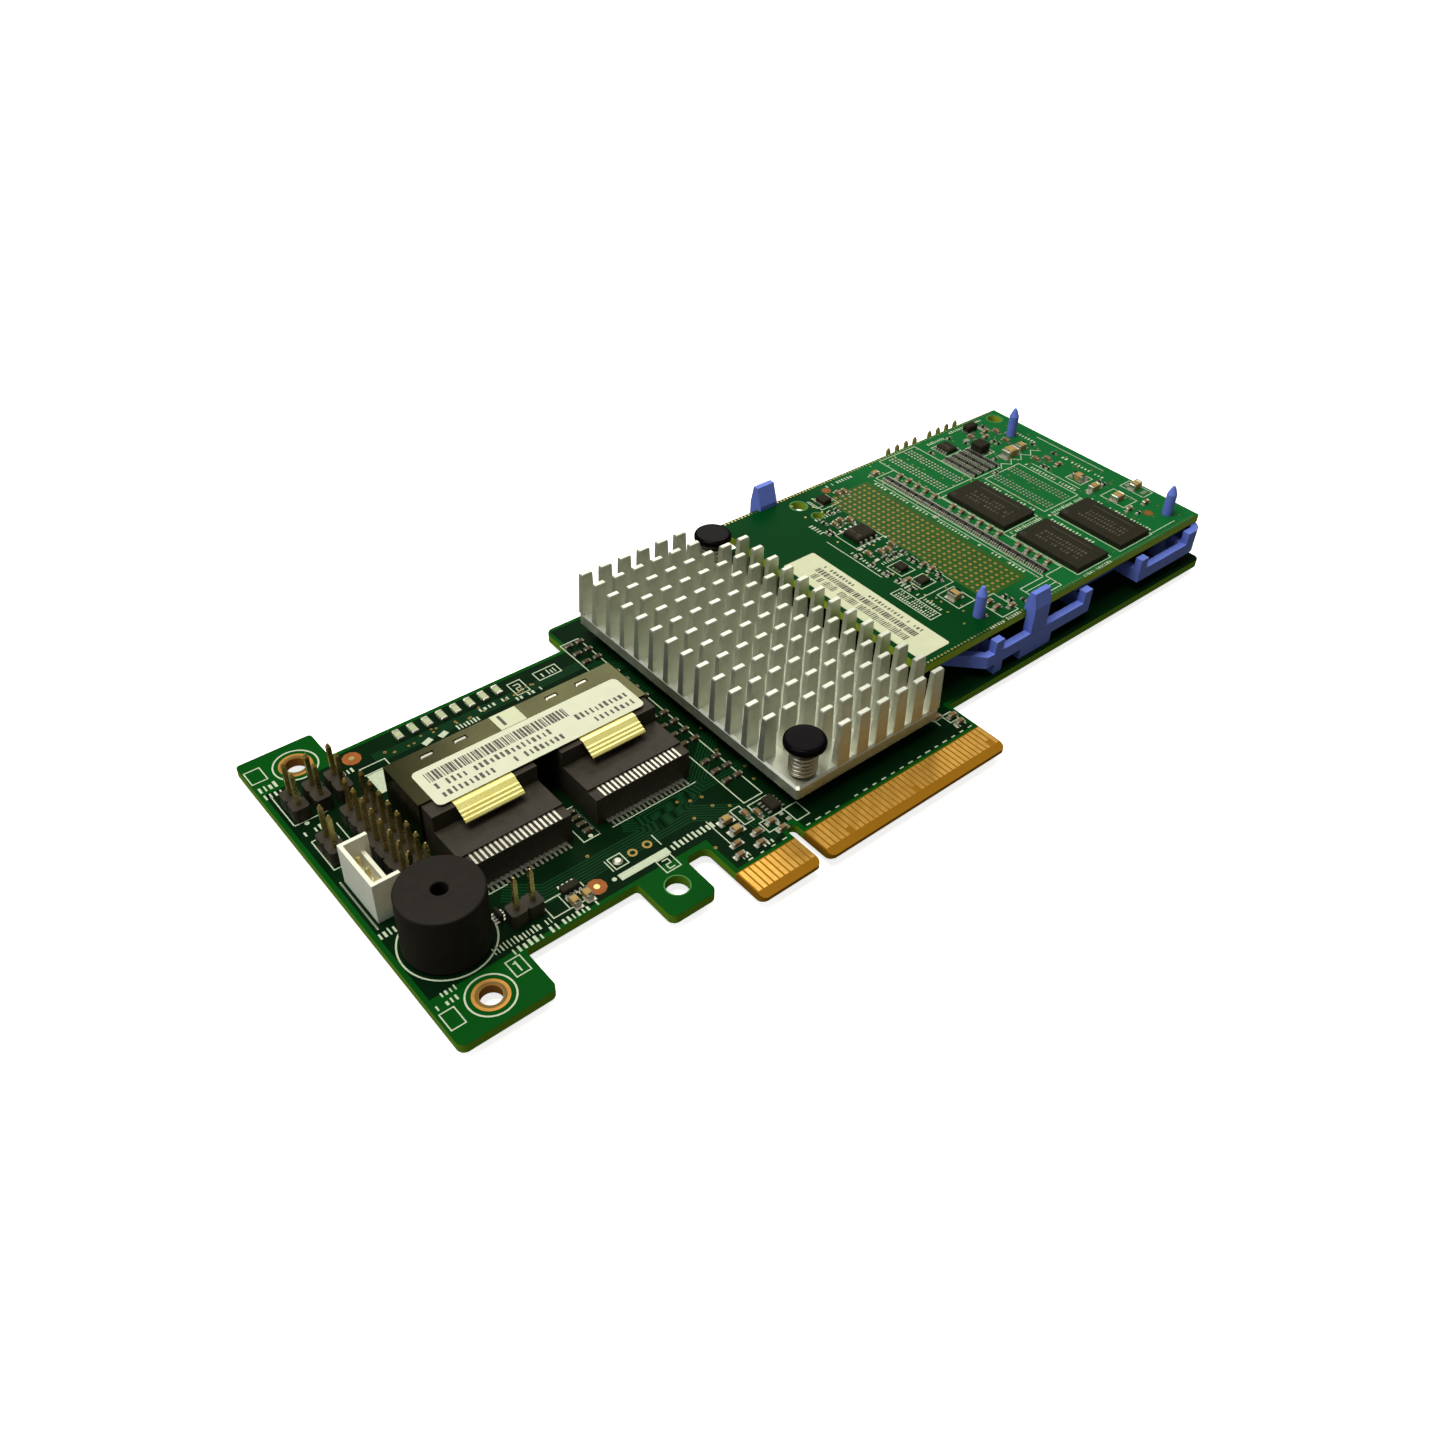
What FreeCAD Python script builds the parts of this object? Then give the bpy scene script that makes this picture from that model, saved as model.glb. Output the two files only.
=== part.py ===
"""Low-profile storage controller card: main board, pin-fin heatsink, two cable sockets and a cache board.

Millimetres. The card is laid out from the corner where the bracket edge meets the line of the edge
connector's tip: x runs along the card, y from the edge connector to the top edge, and z = 0 is the
component side of the main board. Every finished piece is then shifted so that the row's origin is the
centre of the lower bracket hole.
"""
import FreeCAD, Part
import math
import os
import re
import Sketcher

Vector = FreeCAD.Vector

DIMENSIONS = {
    # main board outline
    "board_length": 167.65, "board_height": 68.9, "board_thickness": 1.57,
    "upper_tab_width": 12.1, "recess_edge": 62.7, "recess_end": 55.3,
    "lower_tab_width": 14.5, "tab_bottom": 5.0, "lower_edge": 12.9, "tail_edge": 12.5,
    "stop_tab_left": 33.0, "stop_tab_right": 41.0, "stop_slot_top": 12.6,
    "tab_radius": 1.2, "step_radius": 1.5, "tail_radius": 1.2, "inner_radius": 0.6,
    # edge connector
    "key_x": 57.15, "key_width": 1.9, "key_depth": 8.25, "short_run": 11.15, "long_run": 38.15,
    "bevel_length": 1.3, "bevel_depth": 0.45, "tongue_radius": 1.0,
    "contact_pitch": 1.0, "contact_width": 0.7, "contact_margin": 0.6, "contact_start": 1.4,
    "contact_end": 5.7, "contact_thickness": 0.05, "short_contacts": 11, "long_contacts": 38,
    "presence_cut": 1.3,
    # holes in the main board
    "bracket_hole_x": 7.2, "lower_hole_y": 9.5, "upper_hole_y": 63.8, "bracket_hole_radius": 1.65,
    "land_radius": 2.55, "land_thickness": 0.05,
    "stop_hole_x": 37.2, "stop_hole_y": 9.3, "stop_hole_radius": 1.75,
    "pin_hole_radius": 0.5, "tail_length": 1.4,
    # controller chip and heatsink
    "chip_x": 74.8, "chip_y": 37.1, "package_side": 27, "package_height": 1.1,
    "lid_side": 23, "lid_height": 1.2, "pad_side": 22, "pad_height": 0.3,
    "fin_columns": 8, "fin_rows": 15, "fin_pitch_x": 3.97, "fin_pitch_y": 3.84,
    "fin_length": 2.5, "fin_width": 1.3, "fin_taper": 1.5, "fin_height": 7.85, "base_height": 2.2,
    "bare_cells": 2, "foot_height": 0.35,
    # sprung push pins that hold the heatsink
    "rivet_radius": 1.3, "rivet_clearance": 0.15, "rivet_head_radius": 3.3, "rivet_head_height": 2.3,
    "rivet_neck_radius": 2.3, "rivet_barb_radius": 1.85, "rivet_barb_length": 1.6, "rivet_slit": 0.7,
    "spring_height": 4.3, "spring_radius": 1.85, "spring_wire": 0.5, "spring_turns": 4.5,
    # cable sockets
    "socket_left": 13.6, "socket_pitch": 21.3, "shell_width": 17.8, "shell_height": 8.5,
    "shell_back": 36.9, "shell_front": 46.7, "shell_wall": 0.3, "shell_window_width": 2.2,
    "shell_window_length": 0.8, "shell_window_spread": 2.75, "shell_window_setback": 1.9,
    "shell_leg_width": 1.0, "shell_leg_hole": 0.6, "shell_leg_inset": 2.0,
    "housing_clearance": 0.1, "housing_back": 25.6, "housing_front": 40.0, "ledge_front": 27.8,
    "ledge_height": 4.9, "deck_height": 5.3, "deck_front": 34.0, "card_slot_width": 14.6,
    "card_slot_height": 1.5, "card_slot_depth": 5.0, "card_slot_z": 4.3,
    "socket_contacts": 18, "socket_contact_pitch": 0.8, "socket_contact_width": 0.35,
    "socket_contact_thickness": 0.15, "socket_foot_length": 0.7, "socket_foot_height": 0.3,
    "socket_foot_stagger": 0.4,
    "leaf_width": 9.6, "leaf_thickness": 0.22, "leaf_tip": 31.5, "leaf_tip_z": 6.7,
    # labels
    "label_thickness": 0.1, "label_radius": 0.9, "socket_label_left": 15.7, "socket_label_length": 35.5,
    "socket_label_bottom": 34.9, "socket_label_width": 8.0, "tape_overlap": 0.45, "tape_gap": 0.1,
    "tape_width": 3.6,
    # buzzer
    "buzzer_x": 7.5, "buzzer_y": 20.6, "buzzer_radius": 6.0, "buzzer_height": 10.2,
    "buzzer_sound_hole": 1.15, "buzzer_sound_depth": 2.5, "buzzer_edge": 0.3,
    "buzzer_pin_radius": 0.3, "buzzer_pin_spacing": 6.5,
    # white wire socket
    "wire_socket_left": 1.9, "wire_socket_bottom": 28.7, "wire_socket_depth": 4.2,
    "wire_socket_length": 9.5, "wire_socket_height": 7.2, "wire_socket_wall": 0.6,
    "wire_socket_prong": 0.8, "wire_socket_floor": 1.6, "wire_socket_sill": 4.6,
    "wire_pitch": 2.5, "wire_pin": 0.5, "wire_pin_height": 5.6, "wire_ways": 3,
    # pin headers
    "pin_pitch": 2.54, "pin_side": 0.64, "pin_height": 8.5, "pin_tip": 0.6, "pin_tip_taper": 20,
    "header_base": 2.5, "header_notch": 0.35,
    "long_header_x": 8.3, "long_header_y": 30.2,
    "top_header_y": 53.4, "top_header_1_x": 3.0, "top_header_2_x": 6.4, "top_header_3_x": 9.85,
    "side_header_x": 3.2, "side_header_y": 42.7, "low_header_x": 16.5, "low_header_y": 17.7,
    "far_header_y": 67.6, "far_header_1_x": 136.8, "far_header_2_x": 148.8, "far_pin_height": 9.1,
    # status lamps
    "lamp_x": 22.4, "lamp_y": 60.2, "lamp_pitch": 2.54, "lamp_width": 1.2, "lamp_length": 2.3,
    "lamp_height": 0.6, "lamps": 8,
    # cache board and its connector
    "board_gap": 6.83, "cache_left": 91.6, "cache_bottom": 15.3, "cache_top": 66.7,
    "cache_thickness": 1.57, "cache_hole_radius": 1.5, "cache_small_hole_radius": 1.05,
    "mezzanine_x": 114.2, "mezzanine_y": 22.0, "mezzanine_width": 10.4, "mezzanine_length": 39.0,
    "mezzanine_split": 4.2, "mezzanine_wall": 1.0, "mezzanine_tongue": 2.0, "mezzanine_clearance": 0.15,
    "memory_width": 8.6, "memory_length": 14.4, "memory_height": 1.05,
    "memory_1_x": 133.0, "memory_1_y": 34.0, "memory_2_x": 133.0, "memory_2_y": 16.9,
    "memory_3_x": 145.3, "memory_3_y": 16.9,
    "cache_label_left": 92.6, "cache_label_bottom": 17.0, "cache_label_width": 7.2,
    "cache_label_length": 32.9,
    # plastic carrier between the boards
    "carrier_left": 100.2, "carrier_front": 13.4, "carrier_far": 65.2, "carrier_beam": 1.4,
    "carrier_lift": 2.1, "carrier_beam_height": 2.4, "carrier_edge_gap": 0.15,
    "carrier_corner_run": 6.0, "carrier_corner_radius": 3.0, "carrier_wall_left": 162.6,
    "carrier_wall_run": 4.6, "carrier_bay_left": 133.45, "carrier_bay_right": 147.9,
    "carrier_bay_depth": 5.2,
    "latch_width": 4.0, "latch_left": 117.0, "latch_rise": 3.8, "latch_nose": 0.5, "latch_clearance": 0.05,
    "far_latch_left": 101.2, "far_latch_rise": 4.4, "far_latch_nose": 1.0, "far_latch_span": 3.4,
    "post_width": 2.0, "left_post_x": 107.8, "far_post_x": 107.0, "foot_inset": 0.5,
    "latch_foot_left": 115.0, "latch_foot_length": 8.2,
    "peg_radius": 0.95, "peg_clearance": 0.1, "peg_rise": 5.9, "peg_tip": 1.6,
    "peg_boss_radius": 2.0, "peg_tail": 1.5,
    # small surface parts
    "cap_length": 1.6, "cap_width": 0.8, "cap_height": 0.7,
    "chip_lift": 0.15, "leg_knee": 0.4, "leg_thickness": 0.18,
    "array_length": 1.9, "array_width": 1.5, "array_height": 0.45, "array_pitch": 2.1, "arrays": 19,
    "array_x": 128.6, "line_x": 131.2,
}

document = FreeCAD.newDocument("StorageControllerCard")
sheet = document.addObject("Spreadsheet::Sheet", "Dimensions")
for row, (alias, size) in enumerate(DIMENSIONS.items(), start=1):
    sheet.set(f"A{row}", alias)
    sheet.set(f"B{row}", str(size))
    sheet.setAlias(f"B{row}", alias)
document.recompute()

size = {alias: float(sheet.get(alias)) for alias in DIMENSIONS}
pieces = []


# ---------------------------------------------------------------- helpers

def formula(text):
    """Expression text in which every size name points at the spreadsheet."""
    return re.sub(r"[a-z][a-z_0-9]*", lambda m: "Dimensions." + m[0] if m[0] in size else m[0], str(text))


def bind(target, **sizes):
    """Bind properties of an object to formulas; a double underscore stands for a dot in the path."""
    for path, text in sizes.items():
        target.setExpression(path.replace("__", "."), formula(text))
    return target


def finish(piece, label):
    """Name a finished piece and move it from the layout corner to the row's origin."""
    if piece.TypeId == "Part::Box":
        piece.Label = label + "_block"
        piece = together(label, [piece])
    piece.Label = label
    bind(piece, Placement__Base__x="-bracket_hole_x", Placement__Base__y="-lower_hole_y")
    pieces.append(piece)
    return piece


def new_body(name):
    return document.addObject("PartDesign::Body", name)


def new_sketch(body, role="XY_Plane", offset="0"):
    """Sketch on one of the body's own origin planes, moved along the plane's normal by a formula."""
    plane = next(feature for feature in body.Origin.OriginFeatures if feature.Role == role)
    sketch = body.newObject("Sketcher::SketchObject", body.Name + "_sketch")
    sketch.AttachmentSupport = [(plane, "")]
    sketch.MapMode = "FlatFace"
    return bind(sketch, AttachmentOffset__Base__z=offset)


def hold_point(sketch, geometry, vertex, across, up):
    """Hold one vertex at bound distances from the sketch's origin."""
    for kind, text in (("DistanceX", across), ("DistanceY", up)):
        index = sketch.addConstraint(Sketcher.Constraint(kind, -1, 1, geometry, vertex, 1.0))
        sketch.setExpression(f"Constraints[{index}]", formula(text))


def outline(sketch, points):
    """Closed outline of straight edges through points given as pairs of formulas."""
    first, count = sketch.GeometryCount, len(points)
    ring = [Vector(math.cos(2 * math.pi * i / count), math.sin(2 * math.pi * i / count), 0)
            for i in range(count)]
    for i in range(count):
        sketch.addGeometry(Part.LineSegment(ring[i], ring[(i + 1) % count]), False)
    for i in range(count):
        sketch.addConstraint(Sketcher.Constraint("Coincident", first + i, 2, first + (i + 1) % count, 1))
        hold_point(sketch, first + i, 1, *points[i])
    return sketch


def rectangle(sketch, left, bottom, width, height):
    right, top = f"{left} + {width}", f"{bottom} + {height}"
    return outline(sketch, [(left, bottom), (right, bottom), (right, top), (left, top)])


def circle(sketch, across, up, radius):
    index = sketch.addGeometry(Part.Circle(Vector(0, 0, 0), Vector(0, 0, 1), 1.0), False)
    hold_point(sketch, index, 3, across, up)
    constraint = sketch.addConstraint(Sketcher.Constraint("Radius", index, 1.0))
    sketch.setExpression(f"Constraints[{constraint}]", formula(radius))
    return sketch


def pad(body, sketch, length, downwards=False):
    feature = body.newObject("PartDesign::Pad", body.Name + "_pad")
    feature.Profile = sketch
    feature.Reversed = downwards
    return bind(feature, Length=length)


def pocket(body, sketch, length, upwards=False):
    """Cut below the sketch, or above it if asked."""
    feature = body.newObject("PartDesign::Pocket", body.Name + "_pocket")
    feature.Profile = sketch
    feature.Reversed = upwards
    return bind(feature, Length=length)


def pattern(body, feature, sketch, spacing, count, spacing_2=None, count_2=None):
    """Repeat a feature along the sketch's horizontal axis, and along its vertical axis if asked."""
    rows = body.newObject("PartDesign::LinearPattern", body.Name + "_pattern")
    rows.Originals = [feature]
    rows.Direction = (sketch, ["H_Axis"])
    rows.Mode = "Spacing"
    bind(rows, Offset=spacing, Occurrences=count)
    if spacing_2 and count_2 != 1:
        rows.Direction2 = (sketch, ["V_Axis"])
        rows.Mode2 = "Extent"
        bind(rows, Length2=f"({count_2} - 1) * {spacing_2}", Occurrences2=count_2)
    body.Tip = rows
    return rows


def round_corners(sketch, vertices, radius):
    """Round an outline at the given vertices with tangent arcs; the sharp corners stay held."""
    sketch.recompute()
    for vertex in vertices:
        sketch.fillet(vertex, 1, 0.2, True, True)
        arc = max(index for index, curve in enumerate(sketch.Geometry) if isinstance(curve, Part.ArcOfCircle))
        constraint = sketch.addConstraint(Sketcher.Constraint("Radius", arc, 0.2))
        sketch.setExpression(f"Constraints[{constraint}]", formula(radius))
    return sketch


def box(name, left, bottom, low, length, width, height):
    block = document.addObject("Part::Box", name)
    return bind(block, Placement__Base__x=left, Placement__Base__y=bottom, Placement__Base__z=low,
                Length=length, Width=width, Height=height)


def cylinder(name, x, y, low, radius, height):
    post = document.addObject("Part::Cylinder", name)
    return bind(post, Placement__Base__x=x, Placement__Base__y=y, Placement__Base__z=low,
                Radius=radius, Height=height)


def together(name, blocks, fused=False):
    """Several solids as one piece, fused where they touch if asked."""
    if fused:
        whole = document.addObject("Part::MultiFuse", name)
        whole.Shapes = blocks
    else:
        whole = document.addObject("Part::Compound", name)
        whole.Links = blocks
    return whole


# ---------------------------------------------------------------- main board

TONGUE_LEFT = "key_x - key_width / 2 - short_run"
TONGUE_RIGHT = "key_x + key_width / 2 + long_run"
KEY_LEFT, KEY_RIGHT = "key_x - key_width / 2", "key_x + key_width / 2"

# The two bare corners of the heatsink, where its push pins stand.
RIVETS = {
    "near": ("chip_x - (fin_columns - 2) * fin_pitch_x / 2", "chip_y - (fin_rows - 2) * fin_pitch_y / 2"),
    "far": ("chip_x + (fin_columns - 2) * fin_pitch_x / 2", "chip_y + (fin_rows - 2) * fin_pitch_y / 2"),
}

# Header name: first pin's place for each header of the kind, columns, rows, height of the pins.
HEADERS = {
    "long_pin_header": ([("long_header_x", "long_header_y")], 2, 8, "pin_height"),
    "top_pin_headers": ([(f"top_header_{n}_x", "top_header_y") for n in (1, 2, 3)], 1, 2, "pin_height"),
    "side_pin_header": ([("side_header_x", "side_header_y")], 1, 2, "pin_height"),
    "low_pin_header": ([("low_header_x", "low_header_y")], 2, 1, "pin_height"),
    "far_pin_header_1": ([("far_header_1_x", "far_header_y")], 4, 1, "far_pin_height"),
    "far_pin_header_2": ([("far_header_2_x", "far_header_y")], 4, 1, "far_pin_height"),
}

WIRE_PIN_X = "wire_socket_left + (wire_socket_depth - wire_socket_prong) / 2"
WIRE_PIN_Y = "wire_socket_bottom + wire_socket_length / 2 - (wire_ways - 1) * wire_pitch / 2"

# Pegs of the plastic carrier, each with the side that its web to the beam runs to.
CARRIER_RIGHT = "board_length - carrier_edge_gap"
PEGS = {
    "left": ("109.3", "carrier_front + 5.9"),
    "right": ("board_length - 4.85", "carrier_front + 5.8"),
    "back": ("board_length - 5.45", "57.3"),
}


def board_holes():
    """Every drilled hole of the main board, as x, y and radius formulas."""
    holes = [("bracket_hole_x", "lower_hole_y", "bracket_hole_radius"),
             ("bracket_hole_x", "upper_hole_y", "bracket_hole_radius"),
             ("stop_hole_x", "stop_hole_y", "stop_hole_radius")]
    holes += [(x, y, "rivet_radius + rivet_clearance") for x, y in RIVETS.values()]
    holes += [(x, y, "peg_radius + peg_clearance") for x, y in PEGS.values()]
    for places, columns, rows, _ in HEADERS.values():
        holes += [(f"{x} + {i} * pin_pitch", f"{y} + {j} * pin_pitch", "pin_hole_radius")
                  for x, y in places for i in range(columns) for j in range(rows)]
    holes += [(WIRE_PIN_X, f"{WIRE_PIN_Y} + {i} * wire_pitch", "pin_hole_radius")
              for i in range(int(size["wire_ways"]))]
    holes += [("buzzer_x", f"buzzer_y + {side} * buzzer_pin_spacing / 2", "pin_hole_radius")
              for side in (-1, 1)]
    for index in (0, 1):
        holes += [(x, y, "shell_leg_hole") for x, y in shell_legs(index)]
    return holes


def shell_legs(index):
    """Centres of one shell's four solder legs."""
    left = f"socket_left + {index} * socket_pitch"
    return [(f"{left} + {x}", y) for x in ("shell_wall / 2", "shell_width - shell_wall / 2")
            for y in ("shell_back + shell_leg_inset", "shell_front - shell_leg_inset")]


def main_circuit_board():
    body = new_body("main_circuit_board")
    edge = new_sketch(body, offset="-board_thickness")
    outline(edge, [
        ("0", "tab_bottom"), ("lower_tab_width", "tab_bottom"), ("lower_tab_width", "lower_edge"),
        ("stop_tab_left", "lower_edge"), ("stop_tab_left", "tab_bottom"), ("stop_tab_right", "tab_bottom"),
        ("stop_tab_right", "stop_slot_top"), (TONGUE_LEFT, "stop_slot_top"), (TONGUE_LEFT, "0"),
        (KEY_LEFT, "0"), (KEY_LEFT, "key_depth"), (KEY_RIGHT, "key_depth"), (KEY_RIGHT, "0"),
        (TONGUE_RIGHT, "0"), (TONGUE_RIGHT, "tail_edge"), ("board_length", "tail_edge"),
        ("board_length", "board_height"), ("recess_end", "board_height"), ("recess_end", "recess_edge"),
        ("upper_tab_width", "recess_edge"), ("upper_tab_width", "board_height"), ("0", "board_height"),
    ])
    round_corners(edge, [0, 1, 4, 5, 6, 7], "tab_radius")
    round_corners(edge, [8, 9, 12, 13], "tongue_radius")
    round_corners(edge, [10, 11], "key_width / 2 - 0.05")
    round_corners(edge, [2, 3, 14, 18, 19, 20, 21], "inner_radius")
    round_corners(edge, [17], "step_radius")
    round_corners(edge, [15], "tail_radius")
    pad(body, edge, "board_thickness")
    bevel = new_sketch(body, "YZ_Plane")
    outline(bevel, [("-1", "0"), ("bevel_length", "0"), ("0", "-bevel_depth"), ("-1", "-bevel_depth")])
    outline(bevel, [("-1", "-board_thickness"), ("bevel_length", "-board_thickness"),
                    ("0", "bevel_depth - board_thickness"), ("-1", "bevel_depth - board_thickness")])
    pocket(body, bevel, "board_length", upwards=True)
    drill = new_sketch(body)
    for hole in board_holes():
        circle(drill, *hole)
    pocket(body, drill, "board_thickness")
    return finish(body, "main_circuit_board")


def edge_contacts(side, top_face, short_ones):
    """Gold contacts on one face; short_ones lists those whose lower end is cut back."""
    body = new_body("edge_contacts_" + side)
    low = "0" if top_face else "-board_thickness - contact_thickness"
    firsts = (f"{TONGUE_LEFT} + contact_margin",
              f"{TONGUE_RIGHT} - contact_margin - (long_contacts - 1) * contact_pitch")
    for first, count in zip(firsts, ("short_contacts", "long_contacts")):
        sketch = new_sketch(body, offset=low)
        rectangle(sketch, f"{first} - contact_width / 2", "contact_start", "contact_width",
                  "contact_end - contact_start")
        contact = pad(body, sketch, "contact_thickness")
        pattern(body, contact, sketch, "contact_pitch", count)
    cut = new_sketch(body, offset=low)
    for run, place in short_ones:
        rectangle(cut, f"{firsts[run]} + ({place} - 0.5) * contact_pitch", "contact_start",
                  "contact_pitch", "presence_cut")
    pocket(body, cut, "contact_thickness", upwards=True)
    return finish(body, body.Name)


def bracket_hole_lands():
    """Copper rings round both bracket holes, on both faces."""
    body = new_body("bracket_hole_lands")
    for low in ("0", "-board_thickness - land_thickness"):
        sketch = new_sketch(body, offset=low)
        for y in ("lower_hole_y", "upper_hole_y"):
            circle(sketch, "bracket_hole_x", y, "land_radius")
            circle(sketch, "bracket_hole_x", y, "bracket_hole_radius")
        pad(body, sketch, "land_thickness")
    return finish(body, "bracket_hole_lands")


# ---------------------------------------------------------------- controller chip and heatsink

HEATSINK_BOTTOM = "package_height + lid_height + pad_height"
HEATSINK_LENGTH = "(fin_columns - 1) * fin_pitch_x + fin_length"
HEATSINK_WIDTH = "(fin_rows - 1) * fin_pitch_y + fin_width"


def square_on_chip(name, side, low, height):
    """Square plate centred on the controller."""
    return box(name, f"chip_x - {side} / 2", f"chip_y - {side} / 2", low, side, side, height)


def controller_chip():
    package = square_on_chip("chip_package", "package_side", "0", "package_height")
    lid = square_on_chip("chip_lid", "lid_side", "package_height", "lid_height")
    finish(together("controller_chip", [package, lid], fused=True), "controller_chip")
    finish(square_on_chip("thermal_pad", "pad_side", "package_height + lid_height", "pad_height"),
           "thermal_pad")


def heatsink():
    """Base plate with tapered pins, two corners left bare for the push pins."""
    body = new_body("heatsink")
    left, bottom = f"chip_x - ({HEATSINK_LENGTH}) / 2", f"chip_y - ({HEATSINK_WIDTH}) / 2"
    plate = new_sketch(body, offset=HEATSINK_BOTTOM)
    rectangle(plate, left, bottom, HEATSINK_LENGTH, HEATSINK_WIDTH)
    pad(body, plate, "base_height")
    root = new_sketch(body, offset=f"{HEATSINK_BOTTOM} + base_height")
    rectangle(root, left, bottom, "fin_length", "fin_width")
    fin = pad(body, root, "fin_height")
    bind(fin, TaperAngle="-fin_taper")
    pattern(body, fin, root, "fin_pitch_x", "fin_columns", "fin_pitch_y", "fin_rows")
    bare_x = "(bare_cells - 1) * fin_pitch_x + fin_length"
    bare_y = "(bare_cells - 1) * fin_pitch_y + fin_width"
    corners = new_sketch(body, offset=f"{HEATSINK_BOTTOM} + base_height")
    rectangle(corners, left, bottom, bare_x, bare_y)
    rectangle(corners, f"{left} + {HEATSINK_LENGTH} - ({bare_x})",
              f"{bottom} + {HEATSINK_WIDTH} - ({bare_y})", bare_x, bare_y)
    pocket(body, corners, "fin_height", upwards=True)
    holes = new_sketch(body, offset=f"{HEATSINK_BOTTOM} + base_height")
    for x, y in RIVETS.values():
        circle(holes, x, y, "rivet_radius + rivet_clearance")
    pocket(body, holes, "base_height")
    return finish(body, "heatsink")


def push_pin(place):
    """Turned push pin: head, shank through both holes, and a split barb under the board."""
    x, y = RIVETS[place]
    body = new_body("heatsink_push_pin_" + place)
    head_low = f"{HEATSINK_BOTTOM} + base_height + spring_height"
    barb_high, barb_low = "-board_thickness", "-board_thickness - rivet_barb_length"
    profile = new_sketch(body, "XZ_Plane", f"-({y})")
    outline(profile, [
        (x, barb_low), (f"{x} + rivet_radius * 0.7", barb_low), (f"{x} + rivet_barb_radius", barb_high),
        (f"{x} + rivet_radius", barb_high), (f"{x} + rivet_radius", head_low),
        (f"{x} + rivet_neck_radius", head_low),
        (f"{x} + rivet_head_radius", f"{head_low} + rivet_head_height * 0.55"),
        (f"{x} + rivet_head_radius", f"{head_low} + rivet_head_height * 0.85"),
        (f"{x} + rivet_head_radius * 0.93", f"{head_low} + rivet_head_height"),
        (x, f"{head_low} + rivet_head_height"),
    ])
    axis = profile.addGeometry(Part.LineSegment(Vector(0, 0, 0), Vector(0, 1, 0)), True)
    hold_point(profile, axis, 1, x, barb_low)
    hold_point(profile, axis, 2, x, f"{head_low} + rivet_head_height")
    turned = body.newObject("PartDesign::Revolution", body.Name + "_turned")
    turned.Profile = profile
    turned.ReferenceAxis = (profile, ["Axis0"])
    turned.Angle = 360
    slit = new_sketch(body, offset=barb_low)
    rectangle(slit, f"{x} - rivet_slit / 2", f"{y} - rivet_barb_radius", "rivet_slit",
              "2 * rivet_barb_radius")
    pocket(body, slit, "rivet_barb_length + board_thickness", upwards=True)
    return finish(body, body.Name)


def heatsink_spring(place):
    """Coil of hexagonal section along a faceted helix, from the base plate to the pin's head."""
    steps_per_turn, wire = 12, size["spring_wire"] / 2
    low = size["package_height"] + size["lid_height"] + size["pad_height"] + size["base_height"] + wire
    rise = size["spring_height"] - 2 * wire
    side = -1 if place == "near" else 1
    x = size["chip_x"] + side * (size["fin_columns"] - 2) * size["fin_pitch_x"] / 2
    y = size["chip_y"] + side * (size["fin_rows"] - 2) * size["fin_pitch_y"] / 2
    steps = round(size["spring_turns"] * steps_per_turn)
    path = []
    for step in range(steps + 1):
        angle = 2 * math.pi * step / steps_per_turn
        path.append(Vector(x + size["spring_radius"] * math.cos(angle),
                           y + size["spring_radius"] * math.sin(angle), low + rise * step / steps))
    section = [path[0] + Vector(wire * math.sin(math.pi * k / 3), 0, wire * math.cos(math.pi * k / 3))
               for k in range(7)]
    spine, ring = Part.makePolygon(path), Part.makePolygon(section)
    coil = document.addObject("Part::Feature", "heatsink_spring_" + place)
    coil.Shape = Part.Wire(spine.Edges).makePipeShell([ring], True, True, 1)
    return finish(coil, coil.Name)


# ---------------------------------------------------------------- cable sockets

def cable_socket(number):
    index = number - 1
    left = f"socket_left + {index} * socket_pitch"
    cable_socket_shell(number, left, index)
    cable_socket_housing(number, left)
    cable_socket_contacts(number, left)
    cable_latch_leaf(number, left)


def cable_socket_shell(number, left, index):
    """Folded metal shell, open at the front for the plug, on four solder legs."""
    body = new_body(f"cable_socket_shell_{number}")
    ring = new_sketch(body, "XZ_Plane", "-shell_back")
    rectangle(ring, left, "0", "shell_width", "shell_height")
    rectangle(ring, f"{left} + shell_wall", "shell_wall", "shell_width - 2 * shell_wall",
              "shell_height - 2 * shell_wall")
    pad(body, ring, "shell_front - shell_back", downwards=True)
    windows = new_sketch(body, offset="shell_height")
    for side in (-1, 1):
        rectangle(windows, f"{left} + shell_width / 2 + {side} * shell_window_spread - shell_window_width / 2",
                  "shell_front - shell_window_setback", "shell_window_width", "shell_window_length")
    pocket(body, windows, "shell_wall")
    feet = new_sketch(body)
    for x, y in shell_legs(index):
        rectangle(feet, f"{x} - shell_wall / 2", f"{y} - shell_leg_width / 2", "shell_wall",
                  "shell_leg_width")
    pad(body, feet, "board_thickness + tail_length", downwards=True)
    return finish(body, body.Name)


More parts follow.
